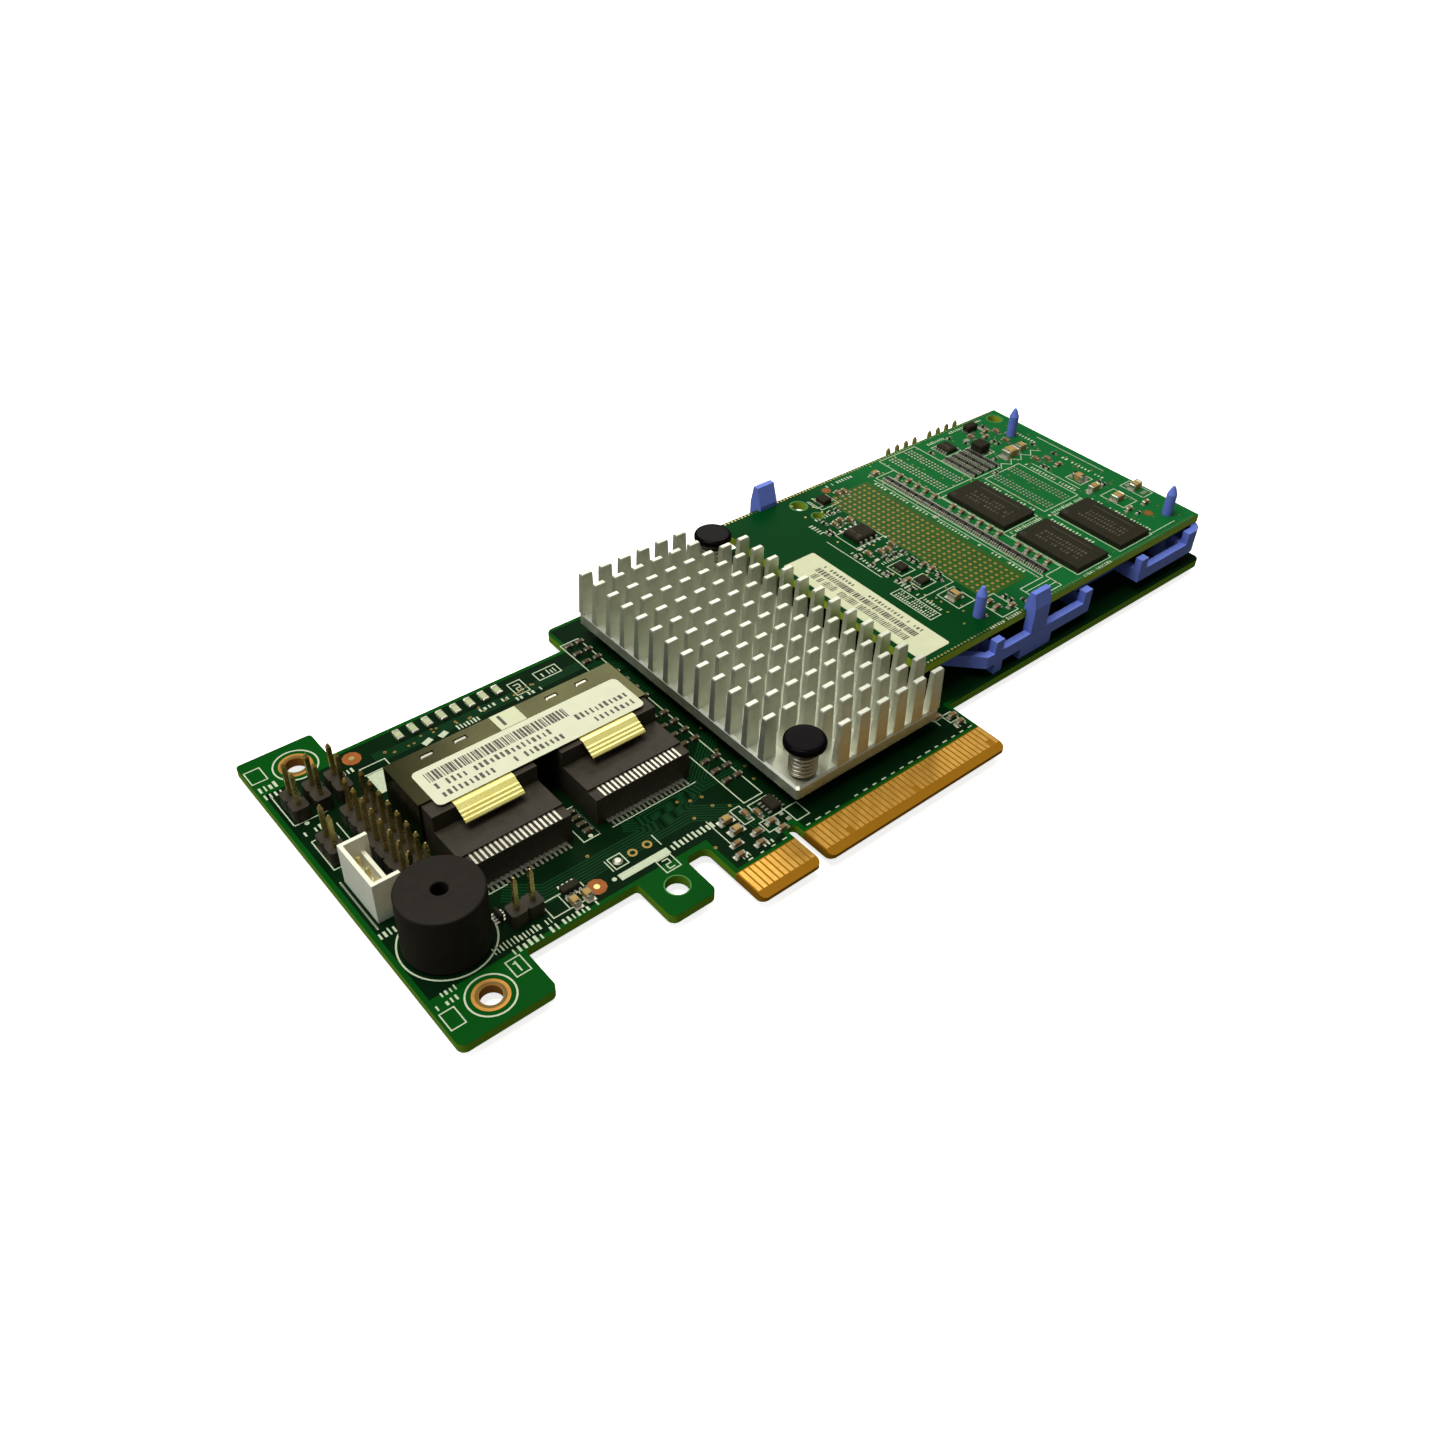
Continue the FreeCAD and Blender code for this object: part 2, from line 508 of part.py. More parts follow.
def cable_socket_housing(number, left):
    """Plastic block: low ledge and deck behind the shell, slotted nose inside it."""
    body = new_body(f"cable_socket_housing_{number}")
    inset = "shell_wall + housing_clearance"
    side = new_sketch(body, "YZ_Plane", f"{left} + {inset}")
    outline(side, [
        ("housing_back", "0"), ("shell_back", "0"), ("shell_back", inset), ("housing_front", inset),
        ("housing_front", f"shell_height - {inset.replace('+', '-')}"),
        ("deck_front", f"shell_height - {inset.replace('+', '-')}"),
        ("deck_front", "deck_height"), ("ledge_front", "deck_height"), ("ledge_front", "ledge_height"),
        ("housing_back", "ledge_height"),
    ])
    pad(body, side, f"shell_width - 2 * ({inset})")
    slot = new_sketch(body, "XZ_Plane", "-housing_front")
    rectangle(slot, f"{left} + (shell_width - card_slot_width) / 2", "card_slot_z - card_slot_height / 2",
              "card_slot_width", "card_slot_height")
    pocket(body, slot, "card_slot_depth", upwards=True)
    return finish(body, body.Name)


def cable_socket_contacts(number, left):
    """Contact strips on the ledge, and two staggered rows of solder feet behind the housing."""
    body = new_body(f"cable_socket_contacts_{number}")
    first = f"{left} + shell_width / 2 - (socket_contacts - 1) * socket_contact_pitch / 2"
    rows = [("0", "housing_back", "ledge_front - housing_back", "ledge_height", "socket_contact_thickness"),
            ("0", "housing_back - socket_foot_length", "socket_foot_length", "0", "socket_foot_height"),
            ("socket_foot_stagger", "housing_back - 2.2 * socket_foot_length", "2.2 * socket_foot_length",
             "0", "socket_foot_height / 2")]
    for shift, back, length, low, height in rows:
        sketch = new_sketch(body, offset=low)
        rectangle(sketch, f"{first} + {shift} - socket_contact_width / 2", back, "socket_contact_width", length)
        strip = pad(body, sketch, height)
        pattern(body, strip, sketch, "socket_contact_pitch", "socket_contacts")
    return finish(body, body.Name)


def cable_latch_leaf(number, left):
    """Ribbed spring leaf: flat on the housing, then stepping down over the deck in three ridges."""
    body = new_body(f"cable_latch_leaf_{number}")
    seat = "shell_height - shell_wall - housing_clearance"
    run, drop = "(deck_front - leaf_tip)", f"({seat} - leaf_tip_z)"
    ridges, upper, lower = 3, [], []
    for step in range(2 * ridges + 1):
        along = 0.34 + 0.66 * step / (2 * ridges)
        lift = 0.07 if step % 2 else -0.03
        across, height = f"deck_front - {run} * {along:.3f}", f"{seat} - {drop} * {along - lift:.3f}"
        lower.append((across, height))
        upper.append((across, f"{height} + leaf_thickness"))
    side = new_sketch(body, "YZ_Plane", f"{left} + (shell_width - leaf_width) / 2")
    outline(side, [("shell_back - housing_clearance", seat), ("deck_front", seat)] + lower
            + upper[::-1] + [("deck_front", f"{seat} + leaf_thickness"),
                             ("shell_back - housing_clearance", f"{seat} + leaf_thickness")])
    pad(body, side, "leaf_width")
    return finish(body, body.Name)


def rounded_label(name, left, bottom, low, length, width, radius):
    body = new_body(name)
    face = new_sketch(body, offset=low)
    rectangle(face, left, bottom, length, width)
    round_corners(face, range(4), radius)
    pad(body, face, "label_thickness")
    return finish(body, name)


def labels():
    rounded_label("socket_label", "socket_label_left", "socket_label_bottom", "shell_height",
                  "socket_label_length", "socket_label_width", "label_radius")
    finish(box("gap_tape", "socket_left + shell_width - tape_overlap",
               "socket_label_bottom + socket_label_width + tape_gap", "shell_height",
               "socket_pitch - shell_width + 2 * tape_overlap", "tape_width", "label_thickness"), "gap_tape")
    rounded_label("cache_label", "cache_label_left", "cache_label_bottom", "board_gap + cache_thickness",
                  "cache_label_width", "cache_label_length", "label_radius / 2")


# ---------------------------------------------------------------- buzzer, wire socket, headers, lamps

def buzzer():
    """Round case with a sound hole in its top, on two pins."""
    body = new_body("buzzer_case")
    disc = circle(new_sketch(body), "buzzer_x", "buzzer_y", "buzzer_radius")
    case = pad(body, disc, "buzzer_height")
    document.recompute()
    rims = [f"Edge{n}" for n, edge in enumerate(case.Shape.Edges, start=1)
            if abs(edge.BoundBox.ZMin - size["buzzer_height"]) < 1e-6]
    rim = body.newObject("PartDesign::Chamfer", "buzzer_rim")
    rim.Base = (case, rims)
    bind(rim, Size="buzzer_edge")
    mouth = circle(new_sketch(body, offset="buzzer_height"), "buzzer_x", "buzzer_y", "buzzer_sound_hole")
    pocket(body, mouth, "buzzer_sound_depth")
    finish(body, "buzzer_case")
    pins = [cylinder(f"buzzer_pin_{n}", "buzzer_x", f"buzzer_y + {side} * buzzer_pin_spacing / 2",
                     "-board_thickness - tail_length", "buzzer_pin_radius", "board_thickness + tail_length")
            for n, side in ((1, -1), (2, 1))]
    finish(together("buzzer_pins", pins), "buzzer_pins")


def wire_socket():
    """White shrouded socket, cut away on its inner side between two prongs."""
    body = new_body("wire_socket_body")
    plan = new_sketch(body)
    rectangle(plan, "wire_socket_left", "wire_socket_bottom", "wire_socket_depth", "wire_socket_length")
    pad(body, plan, "wire_socket_height")
    inner_left = "wire_socket_left + wire_socket_wall"
    inner_bottom = "wire_socket_bottom + wire_socket_wall"
    inner_width = "wire_socket_depth - wire_socket_prong - 2 * wire_socket_wall"
    inner_length = "wire_socket_length - 2 * wire_socket_wall"
    sill_left = "wire_socket_left + wire_socket_depth - wire_socket_prong - wire_socket_wall"
    prong_left = "wire_socket_left + wire_socket_depth - wire_socket_prong"
    cuts = [(inner_left, inner_width, "wire_socket_floor"), (sill_left, "wire_socket_wall", "wire_socket_sill"),
            (prong_left, "wire_socket_prong", "0")]
    for left, width, floor in cuts:
        sketch = new_sketch(body, offset=floor)
        rectangle(sketch, left, inner_bottom, width, inner_length)
        pocket(body, sketch, f"wire_socket_height - {floor}", upwards=True)
    slots = new_sketch(body, offset="wire_socket_floor")
    for way in range(int(size["wire_ways"])):
        rectangle(slots, f"{WIRE_PIN_X} - wire_pin / 2", f"{WIRE_PIN_Y} + {way} * wire_pitch - wire_pin / 2",
                  "wire_pin", "wire_pin")
    pocket(body, slots, "wire_socket_floor")
    finish(body, "wire_socket_body")
    pins = [box(f"wire_pin_{way + 1}", f"{WIRE_PIN_X} - wire_pin / 2",
                f"{WIRE_PIN_Y} + {way} * wire_pitch - wire_pin / 2", "-board_thickness - tail_length",
                "wire_pin", "wire_pin", "board_thickness + tail_length + wire_pin_height")
            for way in range(int(size["wire_ways"]))]
    finish(together("wire_socket_pins", pins), "wire_socket_pins")


def header_outline(x, y, columns, rows):
    """Outline of a header base: each cell's outer corners are notched."""
    half, notch = "pin_pitch / 2", "header_notch"
    left, bottom = f"{x} - {half}", f"{y} - {half}"
    right, top = f"{left} + {columns} * pin_pitch", f"{bottom} + {rows} * pin_pitch"
    points = []
    for i in range(columns):
        cell = f"{left} + {i} * pin_pitch"
        points += [(f"{cell} + {notch}", bottom), (f"{cell} + pin_pitch - {notch}", bottom)]
        if i < columns - 1:
            points.append((f"{cell} + pin_pitch", f"{bottom} + {notch}"))
    for j in range(rows):
        cell = f"{bottom} + {j} * pin_pitch"
        points += [(right, f"{cell} + {notch}"), (right, f"{cell} + pin_pitch - {notch}")]
        if j < rows - 1:
            points.append((f"{right} - {notch}", f"{cell} + pin_pitch"))
    for i in reversed(range(columns)):
        cell = f"{left} + {i} * pin_pitch"
        points += [(f"{cell} + pin_pitch - {notch}", top), (f"{cell} + {notch}", top)]
        if i > 0:
            points.append((cell, f"{top} - {notch}"))
    for j in reversed(range(rows)):
        cell = f"{bottom} + {j} * pin_pitch"
        points += [(left, f"{cell} + pin_pitch - {notch}"), (left, f"{cell} + {notch}")]
        if j > 0:
            points.append((f"{left} + {notch}", cell))
    return points


def pin_header(name, places, columns, rows, height):
    """Bases with notched cells and square posts through them, each with a pointed tip."""
    body = new_body(name + "_base")
    plan = new_sketch(body)
    for x, y in places:
        outline(plan, header_outline(x, y, columns, rows))
    pad(body, plan, "header_base")
    hole = new_sketch(body)
    posts = new_body(name + "_pins")
    foot = new_sketch(posts, offset="-board_thickness - tail_length")
    tip = new_sketch(posts, offset=f"{height} - pin_tip")
    for x, y in places:
        for sketch in (hole, foot, tip):
            rectangle(sketch, f"{x} - pin_side / 2", f"{y} - pin_side / 2", "pin_side", "pin_side")
    cut = pocket(body, hole, "header_base", upwards=True)
    pattern(body, cut, hole, "pin_pitch", columns, "pin_pitch", rows)
    shank = pad(posts, foot, f"board_thickness + tail_length + {height} - pin_tip")
    point = pad(posts, tip, "pin_tip")
    bind(point, TaperAngle="-pin_tip_taper")
    grid = pattern(posts, shank, foot, "pin_pitch", columns, "pin_pitch", rows)
    grid.Originals = [shank, point]
    finish(body, body.Name)
    finish(posts, posts.Name)


def status_lamps():
    lamps = [box(f"lamp_{n + 1}", f"lamp_x + {n} * lamp_pitch - lamp_width / 2", "lamp_y - lamp_length / 2", "0",
                 "lamp_width", "lamp_length", "lamp_height") for n in range(int(size["lamps"]))]
    return finish(together("status_lamps", lamps), "status_lamps")


# ---------------------------------------------------------------- cache board

CACHE_FACE = "board_gap + cache_thickness"


def cache_circuit_board():
    body = new_body("cache_circuit_board")
    plan = new_sketch(body, offset="board_gap")
    rectangle(plan, "cache_left", "cache_bottom", "board_length - cache_left", "cache_top - cache_bottom")
    pad(body, plan, "cache_thickness")
    drill = new_sketch(body, offset=CACHE_FACE)
    for x, y in (("108.3", "cache_top - 3.7"), ("board_length - 2.95", "cache_top - 2.8")):
        circle(drill, x, y, "cache_hole_radius")
    circle(drill, "108.9", "cache_top - 8.3", "cache_small_hole_radius")
    for x, y in PEGS.values():
        circle(drill, x, y, "peg_radius + peg_clearance")
    pocket(body, drill, "cache_thickness")
    return finish(body, "cache_circuit_board")


def board_connector():
    """Mezzanine connector: a walled lower half and an upper half whose tongue plugs into it."""
    lower = new_body("board_connector_lower")
    plan = new_sketch(lower)
    rectangle(plan, "mezzanine_x", "mezzanine_y", "mezzanine_width", "mezzanine_length")
    pad(lower, plan, "mezzanine_split")
    well = new_sketch(lower, offset="mezzanine_split")
    rectangle(well, "mezzanine_x + mezzanine_wall", "mezzanine_y + mezzanine_wall",
              "mezzanine_width - 2 * mezzanine_wall", "mezzanine_length - 2 * mezzanine_wall")
    pocket(lower, well, "mezzanine_tongue + mezzanine_clearance")
    finish(lower, "board_connector_lower")
    upper = new_body("board_connector_upper")
    cap = new_sketch(upper, offset="mezzanine_split")
    rectangle(cap, "mezzanine_x", "mezzanine_y", "mezzanine_width", "mezzanine_length")
    pad(upper, cap, "board_gap - mezzanine_split")
    rim = "mezzanine_wall + mezzanine_clearance"
    tongue = new_sketch(upper, offset="mezzanine_split")
    rectangle(tongue, f"mezzanine_x + {rim}", f"mezzanine_y + {rim}", f"mezzanine_width - 2 * ({rim})",
              f"mezzanine_length - 2 * ({rim})")
    pad(upper, tongue, "mezzanine_tongue", downwards=True)
    finish(upper, "board_connector_upper")


def memory_chips():
    for n in (1, 2, 3):
        name = f"memory_chip_{n}"
        finish(box(name, f"memory_{n}_x", f"memory_{n}_y", CACHE_FACE, "memory_width", "memory_length",
                   "memory_height"), name)


def cache_carrier():
    """Moulded carrier: a beam frame on posts and pegs, with two latches over the cache board's edges."""
    body = new_body("carrier_frame")
    beam = "carrier_beam"
    frame = new_sketch(body, offset="carrier_lift")
    bay = "carrier_front + carrier_bay_depth"
    cut = "carrier_corner_run"
    outline(frame, [
        (f"carrier_left + {cut}", "carrier_front"), ("carrier_bay_left", "carrier_front"),
        ("carrier_bay_left", bay), ("carrier_bay_right", bay), ("carrier_bay_right", "carrier_front"),
        (CARRIER_RIGHT, "carrier_front"), (CARRIER_RIGHT, "carrier_far"), ("carrier_left", "carrier_far"),
        ("carrier_left", f"carrier_front + {cut}")])
    outline(frame, [
        (f"carrier_left + {cut} + {beam} / 2", f"carrier_front + {beam}"),
        (f"carrier_bay_left - {beam}", f"carrier_front + {beam}"),
        (f"carrier_bay_left - {beam}", f"{bay} + {beam}"),
        (f"carrier_bay_right + {beam}", f"{bay} + {beam}"),
        (f"carrier_bay_right + {beam}", f"carrier_front + {beam}"),
        (f"{CARRIER_RIGHT} - {beam}", f"carrier_front + {beam}"),
        (f"{CARRIER_RIGHT} - {beam}", f"carrier_far - {beam}"),
        (f"carrier_left + {beam}", f"carrier_far - {beam}"),
        (f"carrier_left + {beam}", f"carrier_front + {cut} + {beam} / 2")])
    round_corners(frame, [5], "carrier_corner_radius")
    round_corners(frame, [14], f"carrier_corner_radius - {beam}")
    pad(body, frame, "carrier_beam_height")

    posts = new_sketch(body, offset="carrier_lift")
    for left in ("left_post_x", "carrier_bay_left - post_width", "carrier_bay_right"):
        rectangle(posts, left, "carrier_front", "post_width", beam)
    for left in ("far_post_x", f"{CARRIER_RIGHT} - post_width"):
        rectangle(posts, left, f"carrier_far - {beam}", "post_width", beam)
    pad(body, posts, "board_gap - carrier_lift")
    wall = new_sketch(body, offset="carrier_lift")
    wall_end = "carrier_front + carrier_wall_run"
    outline(wall, [
        ("carrier_wall_left", "carrier_front"), (CARRIER_RIGHT, "carrier_front"), (CARRIER_RIGHT, wall_end),
        (f"{CARRIER_RIGHT} - {beam}", wall_end), (f"{CARRIER_RIGHT} - {beam}", f"carrier_front + {beam}"),
        ("carrier_wall_left", f"carrier_front + {beam}")])
    round_corners(wall, [1], "carrier_corner_radius")
    round_corners(wall, [4], f"carrier_corner_radius - {beam}")
    pad(body, wall, "board_gap - carrier_lift")
    feet = new_sketch(body)
    rectangle(feet, "left_post_x + foot_inset", "carrier_front", "post_width", beam)
    rectangle(feet, "latch_foot_left", "carrier_front", "latch_foot_length", beam)
    pad(body, feet, "carrier_lift")

    webs = new_sketch(body, offset="carrier_lift")
    for name in ("left", "right"):
        x, y = PEGS[name]
        rectangle(webs, f"{x} - {beam} / 2", f"carrier_front + {beam} / 2", beam,
                  f"{y} - (carrier_front + {beam} / 2)")
    x, y = PEGS["back"]
    rectangle(webs, x, f"{y} - {beam} / 2", f"{CARRIER_RIGHT} - {beam} / 2 - ({x})", beam)
    rectangle(webs, "far_latch_left", f"carrier_far - {beam} / 2", "latch_width",
              f"far_latch_span + {beam} / 2")
    pad(body, webs, "carrier_beam_height")

    bosses = new_sketch(body)
    for x, y in PEGS.values():
        circle(bosses, x, y, "peg_boss_radius")
    pad(body, bosses, "board_gap")

    hook_low, hook_high = f"{CACHE_FACE} + latch_clearance", f"{CACHE_FACE} + latch_rise"
    near = new_sketch(body, "YZ_Plane", "latch_left")
    inner = "cache_bottom - carrier_edge_gap"
    outline(near, [
        ("carrier_front", "carrier_lift"), (inner, "carrier_lift"), (inner, hook_low),
        ("cache_bottom + latch_nose", hook_low), ("cache_bottom + latch_nose", f"{hook_low} + latch_rise / 4"),
        (inner, hook_high), (f"carrier_front + {beam} / 2", hook_high),
        ("carrier_front", f"{hook_low} + latch_rise / 4")])
    pad(body, near, "latch_width")
    hook_high = f"{CACHE_FACE} + far_latch_rise"
    far = new_sketch(body, "YZ_Plane", "far_latch_left")
    back = "carrier_far + far_latch_span"
    inner = "cache_top + carrier_edge_gap"
    outline(far, [
        (back, "carrier_lift"), (back, f"{hook_low} + far_latch_rise / 5"),
        (f"{back} - {beam} / 2", hook_high), (inner, hook_high),
        ("cache_top - far_latch_nose", f"{hook_low} + far_latch_rise / 5"),
        ("cache_top - far_latch_nose", hook_low), (inner, hook_low), (inner, "carrier_lift")])
    pad(body, far, "latch_width")
    return finish(together("cache_carrier", [body] + carrier_pegs(), fused=True), "cache_carrier")


def carrier_pegs():
    """Pegs with pointed ends that run from under the main board up through the cache board."""
    shoulder, low = f"{CACHE_FACE} + peg_rise - peg_tip", "-board_thickness - peg_tail"
    pegs = []
    for name, (x, y) in PEGS.items():
        pegs.append(cylinder("peg_" + name, x, y, low, "peg_radius", f"{shoulder} - ({low})"))
        point = document.addObject("Part::Cone", "peg_point_" + name)
        pegs.append(bind(point, Placement__Base__x=x, Placement__Base__y=y, Placement__Base__z=shoulder,
                         Radius1="peg_radius", Radius2="peg_radius * 0.35", Height="peg_tip"))
    return pegs


# ---------------------------------------------------------------- small surface parts

def surface_blocks(name, face, places, along, across, height):
    """Rectangular parts soldered on a face, one solid each, listed as (x, y, turned)."""
    blocks = []
    for n, (x, y, turned) in enumerate(places, start=1):
        length, width = (across, along) if turned else (along, across)
        blocks.append(box(f"{name}_{n}", f"{x} - {length} / 2", f"{y} - {width} / 2", face,
                          length, width, height))
    return finish(together(name, blocks), name)


def main_board_parts():
    columns = [(x, 21 + 2.6 * n, False) for x in (55.9, 58.1) for n in range(17) if n % 5 != 3]
    between = [(33.4, 25.4 + 1.5 * n, False) for n in range(4)]
    low = [(47.7, 8.1, False), (51.6, 8.1, False), (48.7, 10.1, False), (52.6, 10.1, False),
           (55.6, 10.4, False), (56.0, 8.4, False), (53.6, 13.9, True), (55.2, 13.0, True)]
    tongue = [(92.2, 11.4, False), (94.6, 10.2, False), (94.4, 8.4, False)]
    surface_blocks("main_board_capacitors", "0", columns + between + low + tongue, "cap_length",
                   "cap_width", "cap_height")
    surface_blocks("main_board_tan_capacitors", "0", [(50.4, 14.6, False), (50.4, 12.2, False),
                                                      (24.3, 15.6, True), (26.4, 15.6, True)],
                   "cap_length + 0.4", "cap_width + 0.4", "cap_height + 0.3")
    small = [box("small_chip_1", "56.9", "11.6", "0", "2.0", "3.0", "1.0"),
             box("small_chip_2", "23.6", "17.2", "0", "3.0", "1.5", "1.0"),
             box("small_chip_3", "14.4", "18.6", "0", "0.8", "2.2", "1.4")]
    finish(together("main_board_small_chips", small), "main_board_small_chips")


def cache_board_parts():
    """Resistor arrays beside the memory, decoupling capacitors, regulator, clock and power parts."""
    count = int(size["arrays"])
    column = [("array_x", 21.6 + size["array_pitch"] * n, True) for n in range(count)]
    field = [(143.6 + 2.0 * i, 51.2 + size["array_pitch"] * j, True) for i in range(4) for j in range(4)]
    surface_blocks("cache_resistor_arrays", CACHE_FACE, column + field, "array_length", "array_width",
                   "array_height")
    line = [("line_x", 22.2 + 2.3 * n, False) for n in range(17) if n not in (4, 11)]
    left = [(109.2, 54.0, True), (111.0, 54.4, True), (112.6, 53.6, True), (109.6, 42.6, True),
            (111.2, 42.4, True), (113.0, 43.2, True), (107.4, 43.6, True), (112.6, 35.2, False),
            (112.8, 33.4, False), (106.9, 33.6, False), (117.2, 61.6, True), (118.6, 61.4, True),
            (113.4, 20.6, False), (113.4, 18.8, False), (115.8, 17.6, False)]
    right = [(158.4, 47.6, True), (160.4, 46.2, True), (160.2, 43.4, False), (156.8, 59.6, False),
             (158.6, 61.2, False), (160.6, 59.8, True), (154.6, 61.4, True), (158.0, 24.4, False),
             (162.6, 24.0, False), (159.4, 56.2, True)]
    surface_blocks("cache_capacitors", CACHE_FACE, line + left + right, "cap_length", "cap_width",
                   "cap_height")
    tan = [box("tan_1", "153.9", "50.9", CACHE_FACE, "3.5", "2.2", "1.6"),
           box("tan_2", "158.3", "51.6", CACHE_FACE, "2.2", "1.6", "1.2"),
           box("tan_3", "127.2", "62.2", CACHE_FACE, "1.6", "1.0", "0.8"),
           box("tan_4", "109.0", "24.4", CACHE_FACE, "2.0", "2.0", "1.2"),
           box("tan_5", "158.2", "27.4", CACHE_FACE, "2.6", "1.8", "1.2"),
           box("tan_6", "164.4", "28.0", CACHE_FACE, "2.6", "1.6", "1.3"),
           box("tan_7", "158.6", "36.4", CACHE_FACE, "1.6", "2.4", "1.2"),
           box("tan_8", "157.4", "32.6", CACHE_FACE, "2.6", "1.4", "1.2")]
    finish(together("cache_tan_capacitors", tan), "cache_tan_capacitors")
    dark = [box("dark_1", "150.6", "55.4", CACHE_FACE, "2.8", "2.8", "1.9"),
            box("dark_2", "155.2", "62.9", CACHE_FACE, "3.0", "1.6", "1.4"),
            box("dark_3", "112.0", "60.2", CACHE_FACE, "2.2", "2.3", "1.0"),
            box("dark_4", "107.9", "35.9", CACHE_FACE, "1.9", "2.2", "0.9"),
            box("dark_5", "107.9", "31.0", CACHE_FACE, "2.2", "1.9", "0.8")]
    finish(together("cache_power_parts", dark), "cache_power_parts")


def leaded_chips():
    """Two small chips on gull-wing legs, whose rows stand along x or, turned, along y."""
    chips = [("memory_switch_chip", "107.9", "46.9", "4.9", "3.9", "1.05", 4, 1.27, "0.42", "1.4", False),
             ("clock_chip", "145.3", "59.4", "2.9", "3.3", "0.8", 5, 0.65, "0.3", "0.8", True)]
    rows = []
    for name, left, bottom, length, width, height, *legs in chips:
        finish(box(name, left, bottom, f"{CACHE_FACE} + chip_lift", length, width, height), name)
        rows.append(chip_legs(name + "_legs", left, bottom, length, width, height, *legs))
    finish(together("cache_chip_legs", rows), "cache_chip_legs")


def chip_legs(name, left, bottom, length, width, height, count, pitch, leg_width, reach, turned):
    """One outline across the chip gives a leg on either side; the row repeats it along the chip."""
    body = new_body(name)
    half_row = f"({count - 1} * {pitch} + {leg_width}) / 2"
    if turned:
        side = new_sketch(body, "XZ_Plane", f"-({bottom} + {width} / 2 + {half_row})")
        edges = ((left, "-"), (f"{left} + {length}", "+"))
    else:
        side = new_sketch(body, "YZ_Plane", f"{left} + {length} / 2 - {half_row}")
        edges = ((bottom, "-"), (f"{bottom} + {width}", "+"))
    middle = f"{CACHE_FACE} + chip_lift + {height} * 0.45"
    for edge, out in edges:
        knee, toe = f"{edge} {out} leg_knee", f"{edge} {out} {reach}"
        heel = f"{edge} {out} (leg_knee - leg_thickness)"
        outline(side, [
            (edge, middle), (knee, middle), (knee, f"{CACHE_FACE} + leg_thickness"),
            (toe, f"{CACHE_FACE} + leg_thickness"), (toe, CACHE_FACE), (heel, CACHE_FACE),
            (heel, f"{middle} - leg_thickness"), (edge, f"{middle} - leg_thickness")])
    pair = pad(body, side, leg_width)
    row = body.newObject("PartDesign::LinearPattern", name + "_row")
    row.Originals = [pair]
    row.Direction = (side, ["N_Axis"])
    row.Mode = "Spacing"
    bind(row, Offset=str(pitch), Occurrences=str(count))
    body.Tip = row
    return body


# ---------------------------------------------------------------- the card

main_circuit_board()
edge_contacts("front", True, [(1, 5), (1, 19), (1, 36)])
edge_contacts("back", False, [(0, 0)])
bracket_hole_lands()
controller_chip()
heatsink()
for corner in RIVETS:
    push_pin(corner)
    heatsink_spring(corner)
cable_socket(1)
cable_socket(2)
labels()
buzzer()
wire_socket()
for header, layout in HEADERS.items():
    pin_header(header, *layout)
status_lamps()
cache_circuit_board()
board_connector()
memory_chips()
cache_carrier()
main_board_parts()
cache_board_parts()
leaded_chips()

document.recompute()
failed = [item.Label for item in document.Objects if {"Invalid", "Error"} & set(item.State)]
failed += [piece.Label for piece in pieces if piece.Shape.isNull() or not piece.Shape.isValid()]
if failed:
    raise SystemExit("these objects did not build: " + ", ".join(failed))

os.makedirs("parts", exist_ok=True)
for piece in pieces:
    piece.Shape.exportStep(f"parts/{piece.Label}.step")
print(len(pieces), "pieces written")
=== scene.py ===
"""Visual model of the storage controller card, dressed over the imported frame.

Lengths are millimetres on the main board: x from its bracket edge, y from the tip of its edge
connector, z from its component side. to_row() carries them into the row's frame in metres.
"""
import bpy
import numpy as np
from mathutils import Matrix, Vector


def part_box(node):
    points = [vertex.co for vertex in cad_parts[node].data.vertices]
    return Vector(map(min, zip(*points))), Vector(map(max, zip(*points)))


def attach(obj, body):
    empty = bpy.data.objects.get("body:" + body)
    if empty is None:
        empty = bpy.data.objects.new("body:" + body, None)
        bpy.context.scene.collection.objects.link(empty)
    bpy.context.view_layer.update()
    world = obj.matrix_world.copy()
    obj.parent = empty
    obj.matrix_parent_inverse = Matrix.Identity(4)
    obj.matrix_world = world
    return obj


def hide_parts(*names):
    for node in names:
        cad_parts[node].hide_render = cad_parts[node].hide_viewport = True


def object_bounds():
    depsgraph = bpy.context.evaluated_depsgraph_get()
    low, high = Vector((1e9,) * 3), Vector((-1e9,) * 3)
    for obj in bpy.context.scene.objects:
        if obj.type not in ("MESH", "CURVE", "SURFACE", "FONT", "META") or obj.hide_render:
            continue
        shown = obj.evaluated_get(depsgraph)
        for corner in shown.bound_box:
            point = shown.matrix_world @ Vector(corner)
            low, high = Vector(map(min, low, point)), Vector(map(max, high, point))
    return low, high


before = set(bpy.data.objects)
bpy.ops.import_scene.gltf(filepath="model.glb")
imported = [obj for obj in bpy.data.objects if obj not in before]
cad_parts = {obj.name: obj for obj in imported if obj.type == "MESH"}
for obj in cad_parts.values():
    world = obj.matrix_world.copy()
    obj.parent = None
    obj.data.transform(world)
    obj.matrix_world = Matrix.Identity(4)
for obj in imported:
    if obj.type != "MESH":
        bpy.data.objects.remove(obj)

cad_low, cad_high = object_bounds()
BOARD_LOW, BOARD_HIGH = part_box("main_circuit_board")
BOARD_CORNER = np.array([BOARD_LOW.x, BOARD_LOW.y, BOARD_HIGH.z])
MM = 0.001
BOARD_T = 1.57                      # thickness of both boards
CACHE_Z = 8.4                       # upper face of the cache board
SHELL_TOP = 8.5                     # top of the cable sockets
BASE_TOP = 4.8                      # top of the heatsink's base plate
LABEL_T = 0.1
INK = 0.03                          # height of print over the face under it
TONGUE = (45.0, 5.9)                # x where the edge contacts begin, y where they end
PITCH = 2.54                        # of pin headers and lamps
